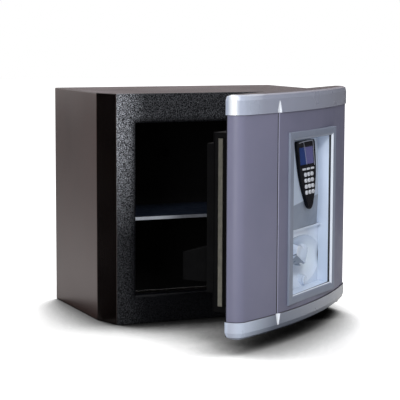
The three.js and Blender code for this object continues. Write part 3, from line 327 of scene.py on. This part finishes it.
def make_cap_silver(name, bright, shaded, painted_end_light, end_light_reach, shade_reach):
    """Silver paint under a clear coat, with painted light: a band round the door's left end, and painted
    shade that darkens the tone past it.

    The reaches are distances from the door's left end, along the way round it: where the painted band starts,
    is full, starts to fade and ends, and where the painted shade starts and ends.
    """
    surface = Surface(name, roughness=0.3, metallic=0.08, coat=1.0, coat_roughness=0.06)
    patches = surface.noise(8.0, 3.0)
    place = door_matrix()
    corner = place @ Vector((-DOOR_HALF, 0.0, 0.0))
    around = place.to_3x3() @ CAP_AROUND
    tone = surface.mix(surface.along(corner, around, *shade_reach), bright, shaded)
    rise = surface.along(corner, around, *end_light_reach[:2])
    fall = surface.along(corner, around, *end_light_reach[2:])
    tone = surface.mix(surface.times(rise, surface.mix(fall, WHITE, BLACK)), tone, painted_end_light)
    flakes = surface.spread(surface.cells(CAP_FLAKE_SCALE, smooth=0.0), low=0.0, high=0.3, start=0.2, end=0.7)
    surface.colour(surface.mix(surface.times(flakes, patches), tone, linear(148, 155, 175)))
    surface.vary_roughness(surface.noise(20.0, 2.0), low=0.26, high=0.36)
    return surface.material


def make_brushed(name, dark, light, roughness, metallic):
    """Metal with fine level streaks."""
    surface = Surface(name, roughness=roughness, metallic=metallic)
    streaks = surface.noise(60.0, detail=5.0, rough=0.6, stretch=(1.0, 1.0, 26.0))
    surface.colour(surface.tones(streaks, dark, light))
    glossier = roughness * BRUSHED_GLOSSIER_SHARE
    surface.vary_roughness(streaks, low=glossier, high=roughness * BRUSHED_DULLER_SHARE)
    surface.bump(streaks, strength=0.25, distance=0.00004)
    return surface.material


def make_zinc():
    """Dull zinc plating."""
    surface = Surface("zinc_plate", roughness=0.38, metallic=0.55)
    surface.colour(surface.tones(surface.noise(90.0, 4.0), linear(112, 110, 102), linear(132, 129, 119)))
    surface.vary_roughness(surface.noise(240.0, 3.0), low=0.3, high=0.5)
    surface.bump(surface.noise(FINE_GRAIN, 2.0), strength=0.3, distance=0.00003)
    return surface.material


GLINT_PATH = [(-13.0, 107.6), (-11.4, 104.0), (-10.0, 98.0), (-7.4, 82.0), (-5.1, 67.2)]
GLINT_PLACE = Vector((GLINT_PATH[2][0] * MM, 0.0, GLINT_PATH[2][1] * MM))
GLINT_LEAN = Vector((0.030, 0.0, 0.005))
GLINT_BLUR = 0.0004
SCREEN_GLOW = 0.3


def make_screen():
    """A display with a blue and a violet part, which meet along the glint of its lens."""
    surface = Surface("display", roughness=0.3, specular=0.15)
    place = keypad_matrix()
    across = (place.to_3x3() @ GLINT_LEAN).normalized()
    dots = surface.noise(FINE_GRAIN, 1.0)
    side = surface.along(place @ GLINT_PLACE, across, -GLINT_BLUR, GLINT_BLUR)
    blue = surface.tones(dots, linear(13, 34, 84), linear(20, 46, 98))
    violet = surface.tones(dots, linear(62, 64, 106), linear(84, 82, 124))
    shown = surface.mix(side, blue, violet)
    surface.colour(shown)
    surface.links.new(shown, surface.shader.inputs["Emission Color"])
    surface.shader.inputs["Emission Strength"].default_value = SCREEN_GLOW
    return surface.material


def make_shelf():
    """Dark blue shelf paint."""
    surface = Surface("shelf_paint", roughness=0.5, specular=0.2)
    surface.colour(surface.tones(surface.noise(20.0, 3.0), linear(24, 31, 45), linear(32, 40, 56)))
    surface.vary_roughness(surface.noise(50.0, 2.0), low=0.42, high=0.6)
    surface.bump(surface.noise(FINE_GRAIN, 2.0), strength=0.4, distance=0.00003)
    return surface.material


# Where the painted light on the shelf's edge gives way to painted shade.
SHELF_SHADE_SPAN = (-0.13, -0.04)


def make_shelf_edge():
    """The shelf's front edge: painted light, brightest at its left end, and painted shade towards its right.
    """
    surface = Surface("shelf_edge_paint", roughness=0.4)
    painted_shade = surface.spread(surface.split()["X"], 0.0, 1.0, *SHELF_SHADE_SPAN)
    tone = surface.mix(painted_shade, linear(236, 244, 255), linear(96, 98, 104))
    scuffs = surface.spread(surface.noise(240.0, 3.0), 0.0, 0.25)
    surface.colour(surface.mix(scuffs, tone, linear(150, 156, 170)))
    surface.vary_roughness(surface.noise(120.0, 2.0), low=0.34, high=0.5)
    surface.bump(surface.noise(FINE_GRAIN, 2.0), strength=0.3, distance=0.00003)
    return surface.material


BOWL_FOOT = (0.082, 0.112)
BOWL_HEAD = (0.142, 0.172)
BOWL_OUT = 0.032
BOWL_DEPTH = 0.012
BOWL_ACROSS = (0.012, 0.05)
WALL_ACROSS = (0.084, 0.09)
WALL_UP = (0.12, 0.26)


def make_recess():
    """White gloss plastic, with a painted highlight in the bowl behind the lever and painted shade low on its
    right wall.
    """
    surface = Surface("recess_gloss", roughness=0.18, coat=0.6)
    place = door_matrix()
    across = place.to_3x3() @ Vector((1.0, 0.0, 0.0))
    inward = place.to_3x3() @ Vector((0.0, 1.0, 0.0))
    middle = place.translation
    height = surface.split()["Z"]
    foot = surface.spread(height, 0.0, 1.0, *BOWL_FOOT)
    level = surface.times(foot, surface.spread(height, 1.0, 0.0, *BOWL_HEAD))
    deep = surface.along(place @ Vector((0.0, -BOWL_OUT, 0.0)), inward, 0.0, BOWL_DEPTH)
    bowl_highlight = surface.times(surface.times(level, deep), surface.along(middle, across, *BOWL_ACROSS))
    low = surface.spread(height, 1.0, 0.0, *WALL_UP)
    wall_shade = surface.times(surface.along(middle, across, *WALL_ACROSS), low)
    tone = surface.tones(surface.noise(12.0, 3.0), linear(205, 218, 238), linear(213, 225, 243))
    # Painted shade low on the right wall, then a painted highlight in the bowl.
    tone = surface.mix(wall_shade, tone, linear(182, 197, 218))
    surface.colour(surface.mix(bowl_highlight, tone, linear(232, 244, 255)))
    surface.vary_roughness(surface.noise(27.0, 2.0), low=0.15, high=0.21)
    surface.bump(surface.noise(300.0, 2.0), strength=0.5, distance=0.00001)
    return surface.material


def make_gloss_black():
    """Glossy black plastic."""
    surface = Surface("gloss_black_plastic", roughness=0.16, specular=0.12)
    surface.colour(surface.tones(surface.noise(30.0, 2.0), linear(3, 4, 12), linear(5, 7, 16)))
    surface.vary_roughness(surface.noise(60.0, 2.0), low=0.12, high=0.2)
    surface.bump(surface.noise(400.0, 2.0), strength=0.3, distance=0.00001)
    return surface.material


def make_film(name, dark, light):
    """The grey film on the door's skins."""
    return painted(name, dark, light, 0.42, grain=1400.0, grain_depth=0.00003, patch=10.0)


MATERIALS = {
    "satin_black": make_satin_black("satin_black_paint", linear(9, 6, 6), linear(15, 10, 9), 0.56),
    "hammered_black": make_hammered(),
    "inner_black": make_inner_black("inner_black_paint", linear(6, 6, 7), linear(10, 10, 11), 0.6),
    "shelf_paint": make_shelf(),
    "door_grey": make_film("door_film", linear(105, 106, 129), linear(111, 111, 134)),
    # The caps' silver with painted light: a light band round the door's left end and painted shade past it.
    "cap_silver": make_cap_silver(
        "cap_silver_paint",
        bright=linear(168, 176, 195),
        shaded=linear(146, 151, 169),
        painted_end_light=linear(246, 250, 253),
        end_light_reach=(0.0, 0.006, 0.01, 0.02),
        shade_reach=(0.036, 0.06),
    ),
    "bezel_grey": painted("bezel_paint", linear(116, 124, 142), linear(124, 132, 150), 0.4, grain=1200.0),
    "recess_white": make_recess(),
    "housing_grey": painted(
        "housing_paint", linear(172, 185, 206), linear(180, 193, 213), 0.4, grain=1200.0
    ),
    "gloss_black": make_gloss_black(),
    "key_silver": painted(
        "key_print", linear(186, 190, 200), linear(206, 210, 220), 0.35, grain=1500.0, patch=60.0
    ),
    "screen_blue": make_screen(),
    "zinc_steel": make_zinc(),
    "board_green": painted("board_mask", linear(30, 84, 52), linear(40, 104, 62), 0.5, grain=800.0),
    "black_plastic": make_inner_black("black_plastic", linear(5, 5, 6), linear(9, 9, 10), 0.7, 0.05),
    "brass": make_brushed("bearing_brass", linear(172, 142, 84), linear(204, 174, 112), 0.35, 0.9),
}
LOCK_BLACK = make_inner_black("lock_box_paint", linear(4, 4, 5), linear(8, 8, 9), 0.6, 0.07)
# The lower cap: a faint band at its left end and deeper painted shade towards its right.
CAP_LOW = make_cap_silver(
    "cap_lower_painted_shade",
    bright=linear(186, 197, 216),
    shaded=linear(90, 100, 120),
    painted_end_light=linear(176, 184, 202),
    end_light_reach=(0.0, 0.003, 0.01, 0.02),
    shade_reach=(0.036, 0.08),
)
# Painted shade: a darker copy of the door's film for its right skin, as the light falls off across the door.
FILM_SHADED = make_film("door_film_painted_shade", linear(99, 100, 122), linear(105, 105, 128))
NODE_MATERIALS = {
    "lock_box": LOCK_BLACK,
    "mechanism_cover": LOCK_BLACK,
    "door_plate": LOCK_BLACK,
    "door_cap_bottom": CAP_LOW,
    "door_skin_right": FILM_SHADED,
}
LEGEND_INK = painted("key_legend", linear(14, 15, 20), linear(24, 25, 32), 0.5, grain=1800.0)
# Painted highlight: a near-white strip on the bezel's inner edge, on the right and below the window.
BEZEL_HIGHLIGHT = painted(
    "window_bevel_painted_highlight", linear(222, 229, 241), linear(224, 232, 244), 0.2, grain=600.0, coat=0.4
)
# Painted shade: a black sheet that lines the gap round the window and the seam's groove.
GAP_SHADE_BLACK = painted("window_gap_painted_shade", linear(10, 11, 14), linear(18, 19, 23), 0.6)
# Painted highlights: light lines along the lens's edge and across its screen.
LENS_HIGHLIGHT = painted("lens_painted_highlight", linear(150, 156, 172), linear(172, 178, 194), 0.3)
SHELF_EDGE = make_shelf_edge()
# Painted highlight: a near-white tone on the faces of the caps' seam notches.
NOTCH_HIGHLIGHT = painted("notch_painted_highlight", linear(226, 232, 242), linear(238, 242, 250), 0.2, coat=0.4)
# Painted shade: a darker copy of the housing's paint for its faces below the crease.
HOUSING_SHADED = painted(
    "housing_painted_shade", linear(122, 134, 154), linear(130, 141, 161), 0.4, grain=1200.0
)
CAP_END = painted("cap_end_paint", linear(46, 38, 42), linear(56, 47, 52), 0.35)
# Painted shade on the lever's downward faces.
LEVER_SHADE = painted("lever_underside_painted_shade", linear(120, 132, 150), linear(130, 142, 160), 0.3)
# Painted sheen: a warmer, lighter copy of the satin black for the cabinet's side faces, for the reflection
# along them.
SIDE_PAINTED_SHEEN = make_satin_black("side_painted_sheen", linear(48, 25, 22), linear(56, 31, 27), 0.86)
# Painted highlight: a lighter copy of the door's film along the seam's right edge.
SEAM_HIGHLIGHT = painted("seam_edge_painted_highlight", linear(136, 137, 160), linear(146, 147, 170), 0.3)
SLOTS = {entry["node"]: entry["material_slot"] for entry in frame["record"]["subparts"]}
BODY_OF = {node: body for body, nodes in BEHAVIOUR["bodies"].items() for node in nodes}

# Dressed copies of the CAD nodes. EDGES has the width and the segments of each node's rounded edges.

EDGES = {
    "cabinet_shell": (0.0016, 3),
    "front_frame": (0.0012, 3),
    "shelf": (0.0006, 2),
    "door_cap_top": (0.0011, 3),
    "door_cap_bottom": (0.0011, 3),
    "door_skin_left": (0.0005, 2),
    "door_skin_right": (0.0005, 2),
    "window_bezel": (0.0006, 2),
    "recess_liner": (0.0009, 3),
    "keypad_housing": (0.0012, 3),
    "keypad_body": (0.0007, 2),
    "handle": (0.0018, 4),
    "locking_bar": (0.0008, 2),
    "lock_box": (0.0006, 2),
    "mechanism_cover": (0.0006, 2),
    "battery_box": (0.0008, 2),
    "battery_cover": (0.0007, 2),
    "lock_cylinder": (0.0006, 2),
    "lock_plug": (0.0002, 2),
    "screen": (0.0002, 1),
    "keypad_board": (0.0002, 1),
}
KEY_EDGE = (0.00035, 2)
OTHER_EDGE = (0.0004, 2)
SHARP_ANGLE = 32.0
ROUNDED_ANGLES = {"cabinet_shell": 10.0}
CREASE_ANGLES = {"cabinet_shell": 10.0, "door_cap_top": 14.0, "door_cap_bottom": 14.0}
FLAT_ANGLE = 0.6
WELD_DISTANCE = 1e-6
NOTCH_FRONT = -0.985
NOTCH_LEVEL = 0.9
CAP_LEVEL = 0.95
SHELF_FRONT = -0.9
CABINET_SIDE = 0.985
LEVER_BELOW = -0.3
# Second and further materials of some nodes. Most are painted light or shade: highlights in the caps'
# notches, painted light and shade along the shelf's edge, shade below the housing's crease and under the
# lever, and a painted sheen on the cabinet's sides.
OTHER_MATERIALS = {
    "door_cap_top": (NOTCH_HIGHLIGHT, CAP_END),
    "door_cap_bottom": (NOTCH_HIGHLIGHT, CAP_END),
    "shelf": (SHELF_EDGE,),
    "keypad_housing": (HOUSING_SHADED,),
    "handle": (LEVER_SHADE,),
    "cabinet_shell": (SIDE_PAINTED_SHEEN,),
}


def in_notch(place, face):
    """Whether a cap's face lies in the seam's notch."""
    centre = place @ face.calc_center_median()
    normal = place.to_3x3() @ face.normal
    within = NOTCH_SPAN[0] < centre.z < NOTCH_SPAN[1] and abs(centre.x - NOTCH_ACROSS) < NOTCH_REACH
    return within and normal.y > NOTCH_FRONT and abs(normal.z) < NOTCH_LEVEL


def other_faces(node, shape):
    """The faces of a node that get its other materials, one list for each."""
    if node.startswith("door_cap"):
        place = door_matrix().inverted()
        notch = [face for face in shape.faces if in_notch(place, face)]
        flat = [face for face in shape.faces if abs(face.normal.z) > CAP_LEVEL]
        return [notch, flat]
    if node == "shelf":
        return [[face for face in shape.faces if face.normal.y < SHELF_FRONT]]
    if node == "cabinet_shell":
        return [[face for face in shape.faces if abs(face.normal.x) > CABINET_SIDE]]
    if node == "handle":
        return [[face for face in shape.faces if face.normal.z < LEVER_BELOW]]
    if node == "keypad_housing":
        return [[face for face in shape.faces if face.calc_center_median().z < CREASE_HEIGHT]]
    return []


def joined_faces(node, mesh):
    """Joins the flat faces of a node's mesh, marks its creases and gives some faces its other materials."""
    shape = bmesh.new()
    shape.from_mesh(mesh)
    bmesh.ops.remove_doubles(shape, verts=shape.verts, dist=WELD_DISTANCE)
    bmesh.ops.dissolve_limit(
        shape, angle_limit=math.radians(FLAT_ANGLE), verts=shape.verts, edges=shape.edges, delimit={"NORMAL"}
    )
    for face in shape.faces:
        face.smooth = True
        face.material_index = 0
    crease = math.radians(CREASE_ANGLES.get(node, SHARP_ANGLE))
    for edge in shape.edges:
        edge.smooth = len(edge.link_faces) == 2 and edge.calc_face_angle() < crease
    for index, faces in enumerate(other_faces(node, shape)):
        for face in faces:
            face.material_index = index + 1
    mesh.materials.clear()
    mesh.materials.append(NODE_MATERIALS.get(node, MATERIALS[SLOTS[node]]))
    for material in OTHER_MATERIALS.get(node, ()):
        mesh.materials.append(material)
    shape.to_mesh(mesh)
    shape.free()


def dressed(node):
    """A copy of a CAD node with its flat faces joined, its edges rounded and its curves smoothed."""
    mesh = frame["nodes"][node].data.copy()
    joined_faces(node, mesh)
    piece = bpy.data.objects.new(f"{node}_dressed", mesh)
    bpy.context.scene.collection.objects.link(piece)
    is_key = node.startswith(("key_", "function_key_"))
    width, segments = EDGES.get(node, KEY_EDGE if is_key else OTHER_EDGE)
    bevel = piece.modifiers.new("edges", "BEVEL")
    bevel.width = width
    bevel.segments = segments
    bevel.limit_method = "ANGLE"
    bevel.angle_limit = math.radians(ROUNDED_ANGLES.get(node, SHARP_ANGLE))
    bevel.harden_normals = True
    bevel.use_clamp_overlap = True
    bevel.miter_outer = "MITER_ARC"
    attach(piece, BODY_OF[node])
    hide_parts(node)


# Pieces of their own. Their sections and paths are in millimetres.

LEFT, RIGHT, BOTTOM, TOP = "left", "right", "bottom", "top"
HIGHLIGHT_SECTION = [(-0.07, 55.08, 1.0), (3.43, 58.08, 1.0), (3.6, 57.9, 1.0), (0.1, 54.9, 1.0)]
HIGHLIGHT_FOOT_SECTION = [(-0.07, 55.08, 1.0), (1.5, 56.42, 1.0), (1.7, 56.25, 1.0), (0.1, 54.9, 1.0)]
GAP_SHADE_SECTION = [(-0.1, 50.95, 0.0), (-0.1, 54.4, 1.0), (0.4, 54.4, 1.0), (0.4, 50.95, 0.0)]
SEAM_SHADE_SECTION = [(-0.06, 0.0), (0.94, 1.06), (1.06, 0.94), (0.1, -0.06)]
SEAM_HIGHLIGHT_SECTION = [(0.94, 1.06), (1.94, 2.06), (2.06, 1.94), (1.06, 0.94)]
LENS_RIGHT = 29.5
LENS_TOP = 108.4
LENS_FOOT = 64.0
LENS_ROUND = 3.0
LENS_TURNS = [math.radians(15.0 * step) for step in range(7)]
LENS_LINE = (-0.05, 0.08)
LENS_EDGE_WIDTH = 1.7
GLINT_WIDTH = 1.4
KEY_MARK = 0.0056
FUNCTION_MARK = 0.006
INK_HEIGHT = 0.00004


def added(name, mesh, material, body):
    """A piece of its own, from a mesh in the part's frame."""
    shape = bmesh.new()
    shape.from_mesh(mesh)
    bmesh.ops.recalc_face_normals(shape, faces=shape.faces)
    shape.to_mesh(mesh)
    shape.free()
    mesh.materials.clear()
    mesh.materials.append(material)
    piece = bpy.data.objects.new(name, mesh)
    bpy.context.scene.collection.objects.link(piece)
    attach(piece, body)


def add_strip(name, points, count, material):
    """A closed strip through rings of points, with as many points in each ring as the count."""
    faces = []
    rings = len(points) // count
    for ring in range(rings - 1):
        for corner in range(count):
            after = (corner + 1) % count
            here, there = ring * count, (ring + 1) * count
            faces.append((here + corner, here + after, there + after, there + corner))
    faces.append(tuple(range(count)))
    faces.append(tuple((rings - 1) * count + corner for corner in reversed(range(count))))
    mesh = bpy.data.meshes.new(name)
    mesh.from_pydata(points, [], faces)
    added(name, mesh, material, "door")


def window_point(corner, offset, out):
    """A point outside a corner of the window by an offset, and in front of the door's back by out."""
    left, right, bottom, top = WINDOW
    grow = offset * MM
    across = left - grow if corner[0] == LEFT else right + grow
    up = bottom - grow if corner[1] == BOTTOM else top + grow
    return door_matrix() @ Vector((across, -out * MM, up))


def add_window_edge(name, corners, section, material):
    """A strip along the window's edge, through points as (offset, out, share of the left side's drop)."""
    points = []
    for corner in corners:
        drop = WINDOW_LEFT_DROP / MM if corner[0] == LEFT else 0.0
        points.extend(window_point(corner, offset, out - drop * share) for offset, out, share in section)
    add_strip(name, points, len(section), material)


def add_seam_strip(name, section, material):
    """A strip up the seam, through points as (across, out) from the foot of the seam's bevel."""
    place = door_matrix()
    points = []
    for up in SEAM_SPAN:
        for across, out in section:
            points.append(place @ Vector((SEAM[0] + across * MM, -(SEAM[1] + out * MM), up)))
    add_strip(name, points, len(section), material)


def add_lens_line(name, path, width):
    """A fine raised line of painted highlight on the keypad's lens, along (across, up) points."""
    place = keypad_matrix()
    low, high = LENS_LINE
    ring = ((-1.0, low), (-1.0, high), (1.0, high), (1.0, low))
    points = []
    for index, (across, up) in enumerate(path):
        before = Vector(path[max(0, index - 1)])
        after = Vector(path[min(len(path) - 1, index + 1)])
        along = (after - before).normalized()
        side = Vector((-along.y, along.x)) * width / 2.0
        for sign, out in ring:
            spot = Vector((across, up)) + sign * side
            points.append(place @ Vector((spot.x * MM, -(KEYPAD_FRONT + out * MM), spot.y * MM)))
    add_strip(name, points, len(ring), LENS_HIGHLIGHT)


def add_legend(node, text, across, up, size):
    """A key's printed mark, a hair proud of its crown."""
    curve = bpy.data.curves.new(f"{node}_type", "FONT")
    curve.body = text
    curve.size = size
    curve.align_x = "CENTER"
    curve.align_y = "CENTER"
    curve.extrude = INK_HEIGHT
    source = bpy.data.objects.new(f"{node}_type", curve)
    mesh = bpy.data.meshes.new_from_object(source)
    stand = Matrix.Translation((across, -KEY_FRONT, up)) @ Matrix.Rotation(math.radians(90.0), 4, "X")
    mesh.transform(keypad_matrix() @ stand)
    added(f"{node}_legend", mesh, LEGEND_INK, BODY_OF[node])
    bpy.data.objects.remove(source)


def add_legends():
    """The marks of all keys: three columns of number keys below a row of function keys."""
    marks = [(digit, digit) for digit in "123456789"] + [("star", "*"), ("0", "0"), ("hash", "#")]
    for index, (suffix, text) in enumerate(marks):
        row, column = divmod(index, 3)
        up = KEYPAD_TOP - FIRST_ROW - row * KEY_PITCH_UP
        add_legend(f"key_{suffix}", text, (column - 1) * KEY_PITCH_ACROSS, up, KEY_MARK)
    for column, suffix in enumerate(("left", "middle", "right")):
        across = (column - 1) * FUNCTION_PITCH
        add_legend(f"function_key_{suffix}", "-", across, KEYPAD_TOP - FUNCTION_ROW, FUNCTION_MARK)


def add_window_strips():
    """Painted highlights on the bezel's inner edge on the right and below, and painted shade in the gap all
    round.
    """
    below = ((LEFT, BOTTOM), (RIGHT, BOTTOM))
    beside = ((RIGHT, BOTTOM), (RIGHT, TOP))
    around = ((LEFT, BOTTOM), (RIGHT, BOTTOM), (RIGHT, TOP), (LEFT, TOP))
    add_window_edge("window_highlight_right", beside, HIGHLIGHT_SECTION, BEZEL_HIGHLIGHT)
    add_window_edge("window_highlight_bottom", below, HIGHLIGHT_FOOT_SECTION, BEZEL_HIGHLIGHT)
    add_window_edge("window_gap_shade", around, GAP_SHADE_SECTION, GAP_SHADE_BLACK)


def add_lens_lines():
    """Painted highlights along the lens's top and right edge, and as the glint across its screen."""
    across = LENS_RIGHT - LENS_ROUND
    up = LENS_TOP - LENS_ROUND
    corner = [(across + LENS_ROUND * math.sin(turn), up + LENS_ROUND * math.cos(turn)) for turn in LENS_TURNS]
    edge = [(-33.0, 106.4), (-20.0, 107.6), (5.0, LENS_TOP), *corner, (LENS_RIGHT, LENS_FOOT)]
    add_lens_line("lens_edge_highlight", edge, LENS_EDGE_WIDTH)
    add_lens_line("lens_glint_line", GLINT_PATH, GLINT_WIDTH)


for node_name in frame["nodes"]:
    dressed(node_name)
add_window_strips()
# Painted shade in the seam's groove, and a painted highlight along its right edge.
add_seam_strip("seam_groove_shade", SEAM_SHADE_SECTION, GAP_SHADE_BLACK)
add_seam_strip("seam_edge_highlight", SEAM_HIGHLIGHT_SECTION, SEAM_HIGHLIGHT)
add_lens_lines()
add_legends()

# Stage

FLOOR_HALF = 12.0
FLOOR_GAP = 0.0005
PAPER = ((0.8, 0.8, 0.8, 1.0), (0.83, 0.83, 0.83, 1.0))
SHADE_TONE = (0.01, 0.01, 0.01, 1.0)
SHADE_SAMPLES = 24
WORLD_LIGHT = 0.3
FELT = (linear(8, 8, 9), linear(16, 16, 17))
GREY_CARD = (linear(120, 118, 122), linear(130, 128, 132))
PALE_CARD = (linear(186, 176, 178), linear(196, 186, 188))
FLAG_FOOT = [(-0.24, -0.1), (-1.25, 0.95), (-1.75, -1.4)]
CAMERA_PLACE = (-1.1529, -2.6959, 0.5405)
CAMERA_YAW = math.radians(23.40)
CAMERA_PITCH = math.radians(6.55)
CAMERA_ROLL = math.radians(0.21)
CAMERA_LENS = 136.1
CAMERA_SENSOR = 36.0
CAMERA_REACH = 50.0


def add_shade(surface, reach, lean, dark, light, power):
    """A soft contact shadow from what stands within reach, seen along a leaning normal."""
    shade = surface.nodes.new("ShaderNodeAmbientOcclusion")
    shade.samples = SHADE_SAMPLES
    shade.inputs["Distance"].default_value = reach
    direction = surface.nodes.new("ShaderNodeCombineXYZ")
    for axis, value in zip("XYZ", lean):
        direction.inputs[axis].default_value = value
    surface.links.new(direction.outputs["Vector"], shade.inputs["Normal"])
    fall = surface.nodes.new("ShaderNodeMath")
    fall.operation = "POWER"
    fall.inputs[1].default_value = power
    surface.links.new(surface.spread(shade.outputs["AO"], 0.0, 1.0, dark, light), fall.inputs[0])
    return fall.outputs["Value"]


def make_floor():
    """White paper, which glows to the camera wherever no contact shadow falls on it."""
    mesh = bpy.data.meshes.new("floor")
    half = FLOOR_HALF
    corners = [(-half, -half), (half, -half), (half, half), (-half, half)]
    mesh.from_pydata([(x, y, -FLOOR_GAP) for x, y in corners], [], [(0, 1, 2, 3)])
    floor = bpy.data.objects.new("floor", mesh)
    bpy.context.scene.collection.objects.link(floor)
    surface = Surface("floor_paper", roughness=0.9, specular=0.0)
    near = add_shade(surface, reach=0.1, lean=(0.15, 0.45, 0.88), dark=0.34, light=0.95, power=0.8)
    far = add_shade(surface, reach=0.52, lean=(0.36, 0.82, 0.45), dark=0.3, light=0.8, power=1.6)
    shade = surface.times(near, far)
    surface.colour(surface.mix(shade, SHADE_TONE, surface.tones(surface.noise(30.0), *PAPER)))
    glow = surface.nodes.new("ShaderNodeEmission")
    glow.inputs["Color"].default_value = WHITE
    bright = surface.times(ray_is(surface.tree, "Camera", "Transmission"), shade)
    surface.links.new(bright, glow.inputs["Strength"])
    both = surface.nodes.new("ShaderNodeAddShader")
    surface.links.new(surface.shader.outputs["BSDF"], both.inputs[0])
    surface.links.new(glow.outputs["Emission"], both.inputs[1])
    surface.links.new(both.outputs["Shader"], surface.nodes["Material Output"].inputs["Surface"])
    mesh.materials.append(surface.material)


def make_world():
    """A white studio, full bright where it is seen or mirrored and dim as a light."""
    world = bpy.data.worlds.new("studio")
    bpy.context.scene.world = world
    world.use_nodes = True
    tree = world.node_tree
    background = tree.nodes["Background"]
    strength = tree.nodes.new("ShaderNodeMapRange")
    strength.inputs["To Min"].default_value = WORLD_LIGHT
    strength.inputs["To Max"].default_value = 1.0
    tree.links.new(ray_is(tree, "Camera", "Transmission", "Glossy"), strength.inputs["Value"])
    tree.links.new(strength.outputs["Result"], background.inputs["Strength"])
    background.inputs["Color"].default_value = WHITE


def add_softbox(name, place, target, size, power):
    """A rectangular lamp that faces its target."""
    data = bpy.data.lights.new(name, "AREA")
    data.shape = "RECTANGLE"
    data.size = size[0]
    data.size_y = size[1]
    data.energy = power
    lamp = bpy.data.objects.new(name, data)
    bpy.context.scene.collection.objects.link(lamp)
    lamp.location = place
    lamp.rotation_euler = (Vector(target) - Vector(place)).to_track_quat("-Z", "Y").to_euler()


def add_card(name, corners, dark, light):
    """A card that only reflections see, as a studio uses to shape the gloss on a surface."""
    mesh = bpy.data.meshes.new(name)
    mesh.from_pydata(corners, [], [tuple(range(len(corners)))])
    card = bpy.data.objects.new(name, mesh)
    bpy.context.scene.collection.objects.link(card)
    surface = Surface(f"{name}_felt", roughness=1.0, specular=0.0)
    surface.colour(surface.tones(surface.noise(60.0), dark, light))
    mesh.materials.append(surface.material)
    card.visible_camera = False
    card.visible_diffuse = False
    card.visible_shadow = False
    return card


def add_flag(name, centre, width, height, azimuth, tones):
    """A card that stands upright."""
    half = width / 2.0
    corners = [(0.0, -half, 0.0), (0.0, half, 0.0), (0.0, half, height), (0.0, -half, height)]
    card = add_card(name, corners, *tones)
    card.location = centre
    card.rotation_euler = (0.0, 0.0, math.radians(azimuth))


def make_camera():
    """The camera of the photograph, solved on the cabinet's edges."""
    data = bpy.data.cameras.new("camera")
    data.lens = CAMERA_LENS
    data.sensor_width = CAMERA_SENSOR
    data.clip_end = CAMERA_REACH
    camera = bpy.data.objects.new("camera", data)
    bpy.context.scene.collection.objects.link(camera)
    level = math.cos(CAMERA_PITCH)
    forward = Vector((math.sin(CAMERA_YAW) * level, math.cos(CAMERA_YAW) * level, -math.sin(CAMERA_PITCH)))
    right = Vector((math.cos(CAMERA_YAW), -math.sin(CAMERA_YAW), 0.0))
    up = right.cross(forward)
    turn = Matrix((right, up, -forward)).transposed().to_4x4()
    camera.matrix_world = Matrix.Translation(CAMERA_PLACE) @ turn @ Matrix.Rotation(CAMERA_ROLL, 4, "Z")
    bpy.context.scene.camera = camera


make_floor()
make_world()
add_softbox("top_light", place=(0.2, -0.3, 2.4), target=(0.0, 0.0, 0.2), size=(2.2, 2.2), power=22.0)
add_softbox("front_light", place=(-1.6, -2.2, 0.95), target=(0.0, -0.2, 0.3), size=(0.5, 1.7), power=24.0)
add_softbox("key_light", place=(-0.35, -2.4, 1.9), target=(0.0, -0.1, 0.2), size=(0.5, 0.5), power=26.0)
add_flag("left_flag", centre=(-1.471, -0.05, -0.4), width=2.5, height=1.6, azimuth=-12.0, tones=FELT)
add_card("left_flag_foot", [(x, y, FLOOR_GAP) for x, y in FLAG_FOOT], *FELT)
add_flag("right_flag", centre=(1.35, 0.2, -0.4), width=1.6, height=1.6, azimuth=20.0, tones=GREY_CARD)
add_flag("back_card", centre=(0.95, 1.5, 0.4), width=2.5, height=1.2, azimuth=90.0, tones=PALE_CARD)
make_camera()
bpy.context.scene.view_settings.view_transform = "Standard"
